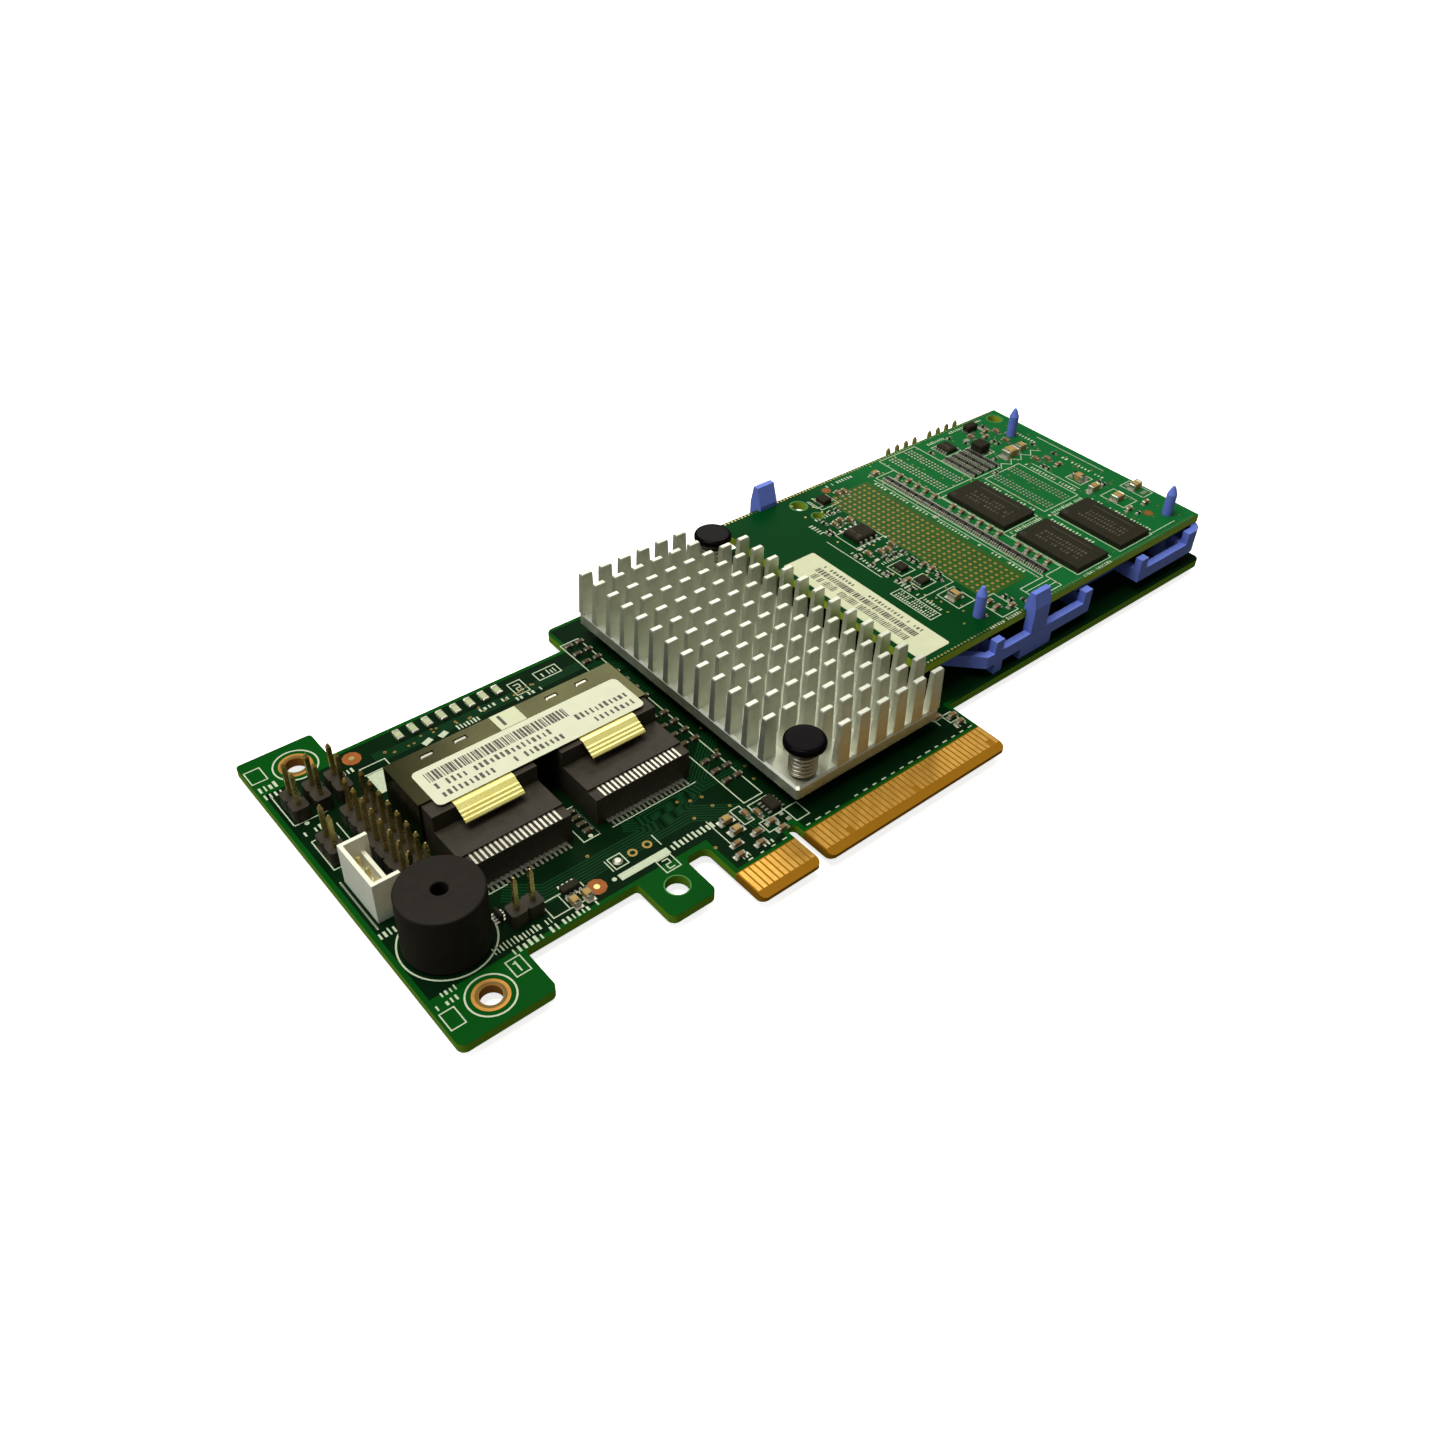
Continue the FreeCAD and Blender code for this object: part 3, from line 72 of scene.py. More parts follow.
BRACKET_HOLES = ([7.2, 7.2], [9.5, 63.8])
BUZZER = (7.5, 20.6)
SOCKETS_LEFT = (13.6, 34.9)
MEMORY_CHIPS = [f"memory_chip_{n}" for n in (1, 2, 3)]
LEADED_CHIPS = ["memory_switch_chip", "clock_chip"]
CHIP_SIZE = (1.6, 0.8, 0.7)         # length, width and height of the small parts
TAN_SIZE, RESISTOR_SIZE, LAMP_SIZE = (2.0, 1.2, 1.0), (1.1, 0.6, 0.4), (2.3, 1.2, 0.6)
random_marks = np.random.RandomState(7)


def to_row(points):
    """Millimetres on the board to metres in the row's frame."""
    return np.asarray(points, float) * MM + BOARD_CORNER


def node_box(name):
    """Corners of a node of the frame in board millimetres: x0, y0, z0, x1, y1, z1."""
    corners = np.array([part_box(name)[0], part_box(name)[1]])
    return tuple(((corners - BOARD_CORNER) / MM).ravel())


# ---- surfaces

def join(*parts):
    """Several (points, faces) surfaces as one, each face list shifted past the points before it."""
    points, faces, start = [], [], 0
    for part_points, part_faces in parts:
        points.append(np.asarray(part_points, float))
        faces += [tuple(int(i) + start for i in face) for face in part_faces]
        start += len(part_points)
    return np.concatenate(points), faces


def rows(sections):
    """Skin over sections[item, level, corner] = point: quads between levels, and a cap at each end."""
    items, levels, corners, _ = sections.shape
    grid = np.arange(items * levels * corners).reshape(items, levels, corners)
    after = np.roll(grid, -1, axis=2)
    quads = np.stack([grid[:, :-1], after[:, :-1], after[:, 1:], grid[:, 1:]], axis=-1).reshape(-1, 4)
    faces = [*map(tuple, quads.tolist()), *map(tuple, grid[:, 0, ::-1].tolist()),
             *map(tuple, grid[:, -1].tolist())]
    return sections.reshape(-1, 3), faces


def bars(centre_x, centre_y, length, width, low, high, angle=0.0):
    """Upright blocks: corner = centre + turn(angle) (+-length/2, +-width/2), at z = low and high."""
    cx, cy, length, width, low, high, angle = np.broadcast_arrays(
        *map(np.atleast_1d, (centre_x, centre_y, length, width, low, high, angle)))
    u = np.array([-0.5, 0.5, 0.5, -0.5])[None, :] * length[:, None]
    v = np.array([-0.5, -0.5, 0.5, 0.5])[None, :] * width[:, None]
    c, s = np.cos(angle)[:, None], np.sin(angle)[:, None]
    x, y = cx[:, None] + c * u - s * v, cy[:, None] + s * u + c * v
    levels = [np.stack([x, y, np.broadcast_to(z[:, None], x.shape)], -1) for z in (low, high)]
    return rows(np.stack(levels, axis=1))


def plates(table, low, high):
    """Flat blocks from table rows of centre x, centre y, length, width."""
    return bars(*np.array(table, float).T, low, high)


def outlines(table, line, low, high):
    """Printed rectangles from table rows of x0, y0, x1, y1: four bars each."""
    x0, y0, x1, y1 = np.array(table, float).T
    mx, my, w, h = (x0 + x1) / 2, (y0 + y1) / 2, x1 - x0, y1 - y0
    return join(bars(mx, y0, w + line, line, low, high), bars(mx, y1, w + line, line, low, high),
                bars(x0, my, line, h - line, low, high), bars(x1, my, line, h - line, low, high))


def circles(profile, centre_x, centre_y, sides):
    """Points (r(s) cos t, r(s) sin t, z(s)) of a profile turned round each centre: [centre, level, side]."""
    cx, cy = (np.atleast_1d(np.asarray(a, float))[:, None, None] for a in (centre_x, centre_y))
    r, z = np.asarray(profile, float).T[:, :, None]
    t = np.linspace(0, 2 * np.pi, sides, endpoint=False)
    x, y = cx + r * np.cos(t), cy + r * np.sin(t)
    return np.stack([x, y, np.broadcast_to(z, x.shape)], -1)


def turned(profile, centre_x, centre_y, sides=48):
    """Surface of revolution of a profile of r, z round each centre, capped flat at both ends."""
    return rows(circles(profile, centre_x, centre_y, sides))


def rings(centre_x, centre_y, inner, outer, low, high, sides=24):
    """Flat rings: a rectangle from inner to outer and low to high, turned round each centre."""
    points = circles([(outer, low), (outer, high), (inner, high), (inner, low)], centre_x, centre_y, sides)
    grid = np.arange(points[..., 0].size).reshape(points.shape[:3])
    down, right = np.roll(grid, -1, axis=1), np.roll(grid, -1, axis=2)
    quads = np.stack([grid, right, np.roll(down, -1, axis=2), down], -1).reshape(-1, 4)
    return points.reshape(-1, 3), [*map(tuple, quads.tolist())]


def discs(centre_x, centre_y, radius, low, high, sides=16, top=1.0):
    """Upright posts: a circle of the given radius at z = low, and of radius x top at z = high."""
    return turned([(radius, low), (radius * top, high)], centre_x, centre_y, sides)


def arc(centre_r, centre_z, radius, count):
    """Quarter round of a profile, from outermost to highest: (r + q cos a, z + q sin a)."""
    a = np.linspace(0, np.pi / 2, count)
    return np.stack([centre_r + radius * np.cos(a), centre_z + radius * np.sin(a)], -1)


def pillows(x0, y0, x1, y1, low, high, bevel):
    """Chamfered blocks: an eight-cornered outline at low and high - bevel, drawn in by bevel at high."""
    x0, y0, x1, y1, low, high, k = np.broadcast_arrays(*(np.atleast_1d(np.asarray(a, float)) for a in
                                                         (x0, y0, x1, y1, low, high, bevel)))
    sections = []
    for height, inset in ((low, 0.0), (high - k, 0.0), (high, k)):
        a, b, c, d = x0 + inset, y0 + inset, x1 - inset, y1 - inset
        x = np.stack([a + k, c - k, c, c, c - k, a + k, a, a], -1)
        y = np.stack([b, b, b + k, d - k, d, d, d - k, b + k], -1)
        sections.append(np.stack([x, y, np.broadcast_to(height[:, None], x.shape)], -1))
    return rows(np.stack(sections, axis=1))


def tracks(path, offsets, width, low, high):
    """Parallel copper tracks: mitred offsets of a path, point + o (n1 + n2) / (1 + n1.n2)."""
    path = np.asarray(path, float)
    step = np.diff(path, axis=0)
    normal = np.stack([-step[:, 1], step[:, 0]], -1) / np.linalg.norm(step, axis=1)[:, None]
    before = np.concatenate([normal[:1], normal])
    after = np.concatenate([normal, normal[-1:]])
    mitre = (before + after) / (1 + np.sum(before * after, axis=1))[:, None]
    middle = np.asarray(offsets, float)[:, None, None]
    left = path[None] + (middle + width / 2) * mitre[None]
    right = path[None] + (middle - width / 2) * mitre[None]
    flat = [np.concatenate([edge, np.full(edge.shape[:2] + (1,), z)], -1)
            for edge, z in ((right, low), (right, high), (left, high), (left, low))]
    return rows(np.stack(flat, axis=2))


def coil(centre_x, centre_y, low, high, radius, wire, turns, steps_per_turn=28, sides=8):
    """Round wire on a helix: centre (R cos a, R sin a, z), section w (cos b e_r + sin b e_z)."""
    count = int(turns * steps_per_turn) + 1
    a = np.linspace(0, 2 * np.pi * turns, count)[:, None]
    b = np.linspace(0, 2 * np.pi, sides, endpoint=False)[None, :]
    reach = radius + wire * np.cos(b)
    z = low + wire + (high - low - 2 * wire) * a / a.max() + wire * np.sin(b)
    section = np.stack([centre_x + reach * np.cos(a), centre_y + reach * np.sin(a), z], -1)
    return rows(section[None, :, ::-1])


# ---- node groups for shared effects

def new_group(name, inputs, outputs):
    """Empty shader node group; inputs and outputs are lists of socket names under each kind of socket."""
    group = bpy.data.node_groups.new(name, "ShaderNodeTree")
    for direction, sockets in (("INPUT", inputs), ("OUTPUT", outputs)):
        for kind, labels in sockets.items():
            for label in labels:
                group.interface.new_socket(label, in_out=direction, socket_type="NodeSocket" + kind)
    return group, group.nodes.new("NodeGroupInput").outputs, group.nodes.new("NodeGroupOutput").inputs


def feed(tree, socket, value):
    """Link an input to another node's output, or set it to a plain value."""
    if isinstance(value, bpy.types.NodeSocket):
        tree.links.new(value, socket)
    else:
        socket.default_value = value


def math_node(tree, operation, first, second):
    """Result of one sum on two values or sockets."""
    node = tree.nodes.new("ShaderNodeMath")
    node.operation = operation
    feed(tree, node.inputs[0], first)
    feed(tree, node.inputs[1], second)
    return node.outputs[0]


def mixed(tree, factor, first, second):
    """Colour between first, where factor is 0, and second, where it is 1."""
    node = tree.nodes.new("ShaderNodeMix")
    node.data_type = "RGBA"
    for index, value in ((0, factor), (6, first), (7, second)):
        feed(tree, node.inputs[index], value)
    return node.outputs[2]


def group_noise(group, given, detail):
    """Noise at the position and scale that the group is given."""
    node = group.nodes.new("ShaderNodeTexNoise")
    node.inputs["Detail"].default_value = detail
    group.links.new(given["Position"], node.inputs["Vector"])
    group.links.new(given["Scale"], node.inputs["Scale"])
    return node.outputs["Fac"]


def mottle_group():
    """Mottle: two colours mixed by soft noise."""
    group, given, out = new_group("Mottle", {"Vector": ["Position"], "Color": ["Color", "Second"],
                                             "Float": ["Scale", "Contrast"]}, {"Color": ["Color"]})
    value = math_node(group, "SUBTRACT", group_noise(group, given, 4), 0.5)
    strong = math_node(group, "MULTIPLY", value, given["Contrast"])
    factor = math_node(group, "ADD", strong, 0.5)
    group.links.new(mixed(group, factor, given["Color"], given["Second"]), out["Color"])
    return group


def grain_group():
    """Grain: fine moulded or brushed texture, as a height and a roughness round a middle value."""
    group, given, out = new_group("Grain", {"Vector": ["Position"], "Float": ["Scale", "Roughness", "Spread"]},
                                  {"Float": ["Height", "Roughness"]})
    noise = group_noise(group, given, 3)
    spread = math_node(group, "MULTIPLY", math_node(group, "SUBTRACT", noise, 0.5), given["Spread"])
    group.links.new(noise, out["Height"])
    group.links.new(math_node(group, "ADD", spread, given["Roughness"]), out["Roughness"])
    return group


def board_group():
    """Board: mask colour that shifts along x on the upper face to a painted light colour (painted shade under the
    cache board on the main board, a painted sheen on the cache board), laminate colour on the cut edges and
    tongue.
    """
    group, given, out = new_group(
        "Board", {"Vector": ["Position"], "Color": ["Color", "Far Color", "Edge", "Tongue"],
                  "Float": ["Low", "High", "Tongue X", "Tongue Y", "Fade Start", "Fade End"]},
        {"Color": ["Color"]})

    def both(first, second):
        return math_node(group, "MULTIPLY", first, second)

    def above(value, limit):
        return math_node(group, "GREATER_THAN", value, given[limit])

    def below(value, limit):
        return math_node(group, "LESS_THAN", value, given[limit])

    axes = group.nodes.new("ShaderNodeSeparateXYZ")
    group.links.new(given["Position"], axes.inputs[0])
    x, y, z = axes.outputs
    fade = group.nodes.new("ShaderNodeMapRange")
    fade.interpolation_type = "SMOOTHSTEP"
    for label, value in (("Value", x), ("From Min", given["Fade Start"]), ("From Max", given["Fade End"])):
        group.links.new(value, fade.inputs[label])
    color = given["Color"]
    # The first mix paints light along x on the upper face only: painted shade on the main board, a painted sheen
    # on the cache board.
    for factor, second in ((both(fade.outputs["Result"], above(z, "High")), "Far Color"),
                           (both(above(z, "Low"), below(z, "High")), "Edge"),
                           (both(above(x, "Tongue X"), below(y, "Tongue Y")), "Tongue")):
        color = mixed(group, factor, color, given[second])
    group.links.new(color, out["Color"])
    return group


MOTTLE, GRAIN, BOARD = mottle_group(), grain_group(), board_group()


def place_group(tree, group, position, **values):
    """Node of a group; each value goes to the input of its name, with spaces for underscores."""
    node = tree.nodes.new("ShaderNodeGroup")
    node.node_tree = group
    tree.links.new(position, node.inputs["Position"])
    for name, value in values.items():
        feed(tree, node.inputs[name.replace("_", " ")], value)
    return node.outputs


def finish(name, color, second, scale=600.0, roughness=0.45, spread=0.2, grain=4000.0, bump=0.2,
           stretch=(1, 1, 1), metallic=0.0, specular=0.2, subsurface=0.0):
    """Principled material: mottled colour, grain in roughness and bump; stretch scales the grain."""
    material = bpy.data.materials.new(name)
    material.use_nodes = True
    tree = material.node_tree
    place = tree.nodes.new("ShaderNodeTexCoord").outputs["Object"]
    mapping = tree.nodes.new("ShaderNodeMapping")
    mapping.inputs["Scale"].default_value = stretch
    tree.links.new(place, mapping.inputs["Vector"])
    mottle = place_group(tree, MOTTLE, place, Color=(*color, 1), Second=(*second, 1), Scale=scale, Contrast=2.0)
    texture = place_group(tree, GRAIN, mapping.outputs["Vector"], Scale=grain, Roughness=roughness, Spread=spread)
    bumps = tree.nodes.new("ShaderNodeBump")
    for label, value in (("Strength", bump), ("Distance", 0.00002), ("Height", texture["Height"])):
        feed(tree, bumps.inputs[label], value)
    surface = tree.nodes["Principled BSDF"].inputs
    for label, value in (("Base Color", mottle["Color"]), ("Roughness", texture["Roughness"]),
                         ("Normal", bumps.outputs["Normal"]), ("Metallic", metallic),
                         ("Specular IOR Level", specular if metallic < 0.5 else 0.5),
                         ("Subsurface Weight", subsurface)):
        feed(tree, surface[label], value)
    return material


def board_finish(name, color, painted_light_color, edge, board, fade, roughness):
    """Solder mask whose cut edges show laminate; fade is the x range, in millimetres, of the shift to painted
    light on the upper face.
    """
    material = finish(name, color, [0.82 * c for c in color], scale=90, roughness=roughness, **MASK)
    tree = material.node_tree
    surface = tree.nodes["Principled BSDF"].inputs
    place = next(node for node in tree.nodes if node.type == "TEX_COORD").outputs["Object"]
    low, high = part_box(board)
    start, end, contacts = to_row([(fade[0], 0, 0), (fade[1], 0, 0), (*TONGUE, 0)])
    skin = 0.00004                  # metres of mask above and below the laminate
    colors = place_group(tree, BOARD, place, Color=surface["Base Color"].links[0].from_socket,
                         Far_Color=(*painted_light_color, 1), Edge=(*edge, 1), Tongue=(0.26, 0.115, 0.008, 1),
                         Low=low.z + skin, High=high.z - skin, Fade_Start=start[0], Fade_End=end[0],
                         Tongue_X=contacts[0], Tongue_Y=contacts[1] if board == "main_circuit_board" else -1.0)
    feed(tree, surface["Base Color"], colors["Color"])
    return material


# ---- finishes

MASK = {"spread": 0.1, "grain": 2500, "bump": 0.12, "specular": 0.02}
# Main board mask; its second colour, from x 95 to 99 on, is painted shade on the top under the cache board.
mask_main = board_finish("light green solder mask", (0.0015, 0.060, 0.005), (0.0016, 0.014, 0.0032),
                         (0.12, 0.25, 0.015), "main_circuit_board", (95, 99), 0.42)
# Dark mask over copper planes; where it lies under the cache board it is painted shade as well.
plane_and_shade_mask = finish("mask over copper planes and painted shade", (0.0016, 0.0135, 0.0032), (0.0008, 0.008, 0.0022), scale=120,
                    roughness=0.42, **MASK)
# Cache board mask; its second colour, lighter from x 106 to 132, is a painted sheen, a reflection painted on the
# upper face.
mask_cache = board_finish("bright green solder mask", (0.0005, 0.040, 0.0075), (0.006, 0.105, 0.026),
                          (0.28, 0.38, 0.03), "cache_circuit_board", (106, 132), 0.4)
gold = finish("gold plating", (0.80, 0.47, 0.11), (0.66, 0.34, 0.06), scale=900, roughness=0.36,
              stretch=(1, 0.1, 1), metallic=0.85)
copper = finish("bare copper ring", (0.50, 0.24, 0.045), (0.40, 0.17, 0.03), metallic=0.6)
tin = finish("solder and tin", (0.62, 0.61, 0.53), (0.42, 0.41, 0.35), scale=1500, roughness=0.34, metallic=0.9)
aluminium = finish("sawn aluminium", (0.72, 0.73, 0.64), (0.64, 0.65, 0.57), scale=700, roughness=0.42,
                   spread=0.2, grain=5200, bump=0.3, stretch=(1, 1, 0.08), metallic=0.97)
chip_black = finish("matt moulding compound", (0.021, 0.019, 0.011), (0.015, 0.013, 0.008), scale=1600,
                    roughness=0.62, grain=9000, bump=0.3, specular=0.08)
black_plastic = finish("black connector plastic", (0.034, 0.028, 0.020), (0.022, 0.018, 0.013), scale=800,
                       roughness=0.5, grain=6000, bump=0.25)
black_gloss = finish("black glossy nylon", (0.003, 0.002, 0.003), (0.002, 0.0015, 0.002), roughness=0.14,
                     spread=0.06, bump=0.04, specular=0.02)
spring_metal = finish("drawn spring wire", (0.50, 0.46, 0.36), (0.41, 0.3772, 0.2952), roughness=0.3,
                      metallic=1.0)
shell_metal = finish("plated shell", (0.058, 0.057, 0.022), (0.043, 0.042, 0.016), scale=200, roughness=0.2,
                     spread=0.08, grain=1500, bump=0.08, metallic=0.9)
leaf_gold = finish("gold spring leaf", (0.98, 0.90, 0.36), (0.95, 0.82, 0.26), roughness=0.3, metallic=0.6)
paper_cream = finish("cream label paper", (0.58, 0.59, 0.46), (0.54, 0.55, 0.43), scale=500, roughness=0.6,
                     grain=7000)
paper_white = finish("white label paper", (0.55, 0.57, 0.40), (0.51, 0.53, 0.37), scale=500, roughness=0.6,
                     grain=7000)
nylon_white = finish("white nylon", (0.76, 0.75, 0.64), (0.70, 0.69, 0.58), roughness=0.42, subsurface=0.1)
pin_gold = finish("gold flashed posts", (0.78, 0.64, 0.27), (0.52, 0.40, 0.15), roughness=0.28, metallic=1.0)
lamp_resin = finish("lamp resin", (0.40, 0.44, 0.27), (0.32, 0.36, 0.21), roughness=0.3)
blue_nylon = finish("blue nylon", (0.13, 0.19, 0.66), (0.11, 0.16, 0.58), grain=5000)
ceramic = finish("brown ceramic", (0.21, 0.13, 0.055), (0.15, 0.09, 0.035))
dark_ceramic = finish("dark ceramic", (0.075, 0.052, 0.028), (0.05, 0.035, 0.02), roughness=0.5)
dull_tin = finish("dull solder", (0.30, 0.30, 0.24), (0.18, 0.18, 0.14), scale=1500, metallic=0.8)
tan_resin = finish("tan resin", (0.37, 0.245, 0.085), (0.30, 0.19, 0.06))
track_green = finish("covered tracks", (0.004, 0.040, 0.012), (0.003, 0.028, 0.008), roughness=0.38,
                     specular=0.03)
ground_copper = finish("mask over copper ground", (0.016, 0.078, 0.003), (0.011, 0.058, 0.003), scale=300,
                       roughness=0.4, specular=0.15)
pad_tan = finish("aged gold pads", (0.36, 0.22, 0.05), (0.26, 0.15, 0.03), scale=900, metallic=0.5)
mark_brown = finish("bare alignment field", (0.30, 0.085, 0.012), (0.20, 0.055, 0.008), scale=900)
web_brown = finish("mask round the plated hole", (0.16, 0.10, 0.018), (0.11, 0.07, 0.012), scale=900)
rim_green = finish("pale mask rim", (0.05, 0.20, 0.04), (0.035, 0.15, 0.03))
label_ink = finish("dark label print", (0.06, 0.055, 0.05), (0.12, 0.11, 0.10), scale=3000, roughness=0.7)
laser_mark = finish("marked moulding", (0.075, 0.068, 0.050), (0.050, 0.045, 0.034), scale=2500, roughness=0.7)
resistor_black = finish("resistor glaze", (0.018, 0.015, 0.014), (0.012, 0.010, 0.010), scale=1500)
buzzer_plastic = finish("buzzer moulding", (0.013, 0.0095, 0.007), (0.009, 0.007, 0.006), scale=700,
                        roughness=0.6, grain=5000, bump=0.3, specular=0.12)
silk_ink = finish("white board ink", (0.50, 0.56, 0.43), (0.36, 0.42, 0.31), scale=2500, roughness=0.6)

NODE_FINISH = {}
for material, names in (
        (mask_main, "main_circuit_board"), (mask_cache, "cache_circuit_board"), (copper, "bracket_hole_lands"),
        (gold, "edge_contacts_front edge_contacts_back"), (aluminium, "heatsink"), (blue_nylon, "cache_carrier"),
        (black_gloss, "heatsink_push_pin_near heatsink_push_pin_far"), (nylon_white, "wire_socket_body"),
        (spring_metal, "heatsink_spring_near heatsink_spring_far"), (lamp_resin, "status_lamps"),
        (paper_cream, "socket_label"), (paper_white, "thermal_pad gap_tape cache_label"),
        (shell_metal, "cable_socket_shell_1 cable_socket_shell_2"),
        (leaf_gold, "cable_latch_leaf_1 cable_latch_leaf_2"),
        (tin, "cable_socket_contacts_1 cable_socket_contacts_2 buzzer_pins cache_chip_legs"),
        (black_plastic, "cable_socket_housing_1 cable_socket_housing_2 buzzer_case"),
        (black_plastic, "board_connector_lower board_connector_upper"), (pin_gold, "wire_socket_pins"),
        (ceramic, "main_board_capacitors cache_capacitors"),
        (tan_resin, "main_board_tan_capacitors cache_tan_capacitors"),
        (chip_black, "controller_chip main_board_small_chips cache_resistor_arrays cache_power_parts"),
        (chip_black, " ".join(MEMORY_CHIPS + LEADED_CHIPS))):
    NODE_FINISH.update(dict.fromkeys(names.split(), material))
for name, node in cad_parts.items():
    header_finish = black_plastic if name.endswith("_base") else pin_gold
    node.data.materials.clear()
    node.data.materials.append(NODE_FINISH.get(name, header_finish))


# ---- making pieces

def piece(name, surface, material, slot, *nodes, smooth=None):
    """Mesh piece on the root body; smooth is the angle in degrees above which its edges stay sharp."""
    points, faces = surface
    mesh = bpy.data.meshes.new(name)
    mesh.from_pydata(to_row(points).tolist(), [], faces)
    mesh.materials.append(material)
    if smooth is not None:
        mesh.polygons.foreach_set("use_smooth", np.ones(len(mesh.polygons), bool))
        mesh.set_sharp_from_angle(angle=np.radians(smooth))
    mesh.update()
    made = bpy.data.objects.new(name, mesh)
    bpy.context.scene.collection.objects.link(made)
    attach(made, "root")
    if nodes:
        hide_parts(*nodes)
    return made


def strokes(along, across, length, width, face, upright):
    """Inked bars of a line that runs along x, or along y where it isn't upright."""
    place = (along, across, length, width) if upright else (across, along, width, length)
    return bars(*place, face, face + INK)


def dashes(x0, x1, y0, y1, step, face, upright=True):
    """Generic print: short strokes of uneven length and gap that fill a line of a label or board."""
    count = max(2, int((x1 - x0) / step))
    centre = x0 + (np.arange(count) + 0.5) * (x1 - x0) / count
    keep = random_marks.rand(count) > 0.12
    width = step * random_marks.uniform(0.28, 0.62, count)
    tall = (y1 - y0) * random_marks.uniform(0.72, 1.0, count)
    return strokes(centre[keep], y0 + tall[keep] / 2, width[keep], tall[keep], face, upright)


def code_bars(x0, x1, y0, y1, face, upright=True):
    """Bars of a generic code: widths of one to three modules with gaps of one or two."""
    widths = random_marks.randint(1, 4, 200) * 0.13
    gaps = random_marks.randint(1, 3, 200) * 0.14
    left = x0 + np.cumsum(widths + gaps) - widths - gaps
    inside = left + widths < x1
    sizes = widths[inside]
    return strokes(left[inside] + sizes / 2, (y0 + y1) / 2, sizes, y1 - y0, face, upright)


def sized(places, size, turned=0):
    """Rows of x, y, length, width, height, turned for chip parts of one size."""
    return [(*place, *size, turned) for place in places]


def soldered(parts, face):
    """Chip parts from rows of sized(): ceramic bodies, and their tinned ends."""
    x, y, length, width, height, turned = np.array(parts, float).T
    along, across = 1 - turned, turned
    end = length * 0.22

    def blocks(cx, cy, half_length, half_width, high, bevel):
        half_x = along * half_length + across * half_width
        half_y = across * half_length + along * half_width
        return pillows(cx - half_x, cy - half_y, cx + half_x, cy + half_y, face, face + high, bevel)

    ends = [blocks(x + along * shift, y + across * shift, end / 2, width / 2, height, height * 0.16)
            for shift in ((end - length) / 2, (length - end) / 2)]
    return blocks(x, y, length / 2 - end * 0.9, width * 0.47, height * 0.97, height * 0.12), join(*ends)


def pads_under(parts, face):
    """Solder pads: a thin plate under each end of a chip part, spread past it."""
    x, y, length, width, _, turned = np.array(parts, float).T
    along, across = 1 - turned, turned
    size = (along * length * 0.42 + across * width * 1.12, across * length * 0.42 + along * width * 1.12)
    return join(*(bars(x + along * shift, y + across * shift, *size, face, face + 0.05)
                  for shift in (-length / 2, length / 2)))


# ---- print and bare metal on the main board

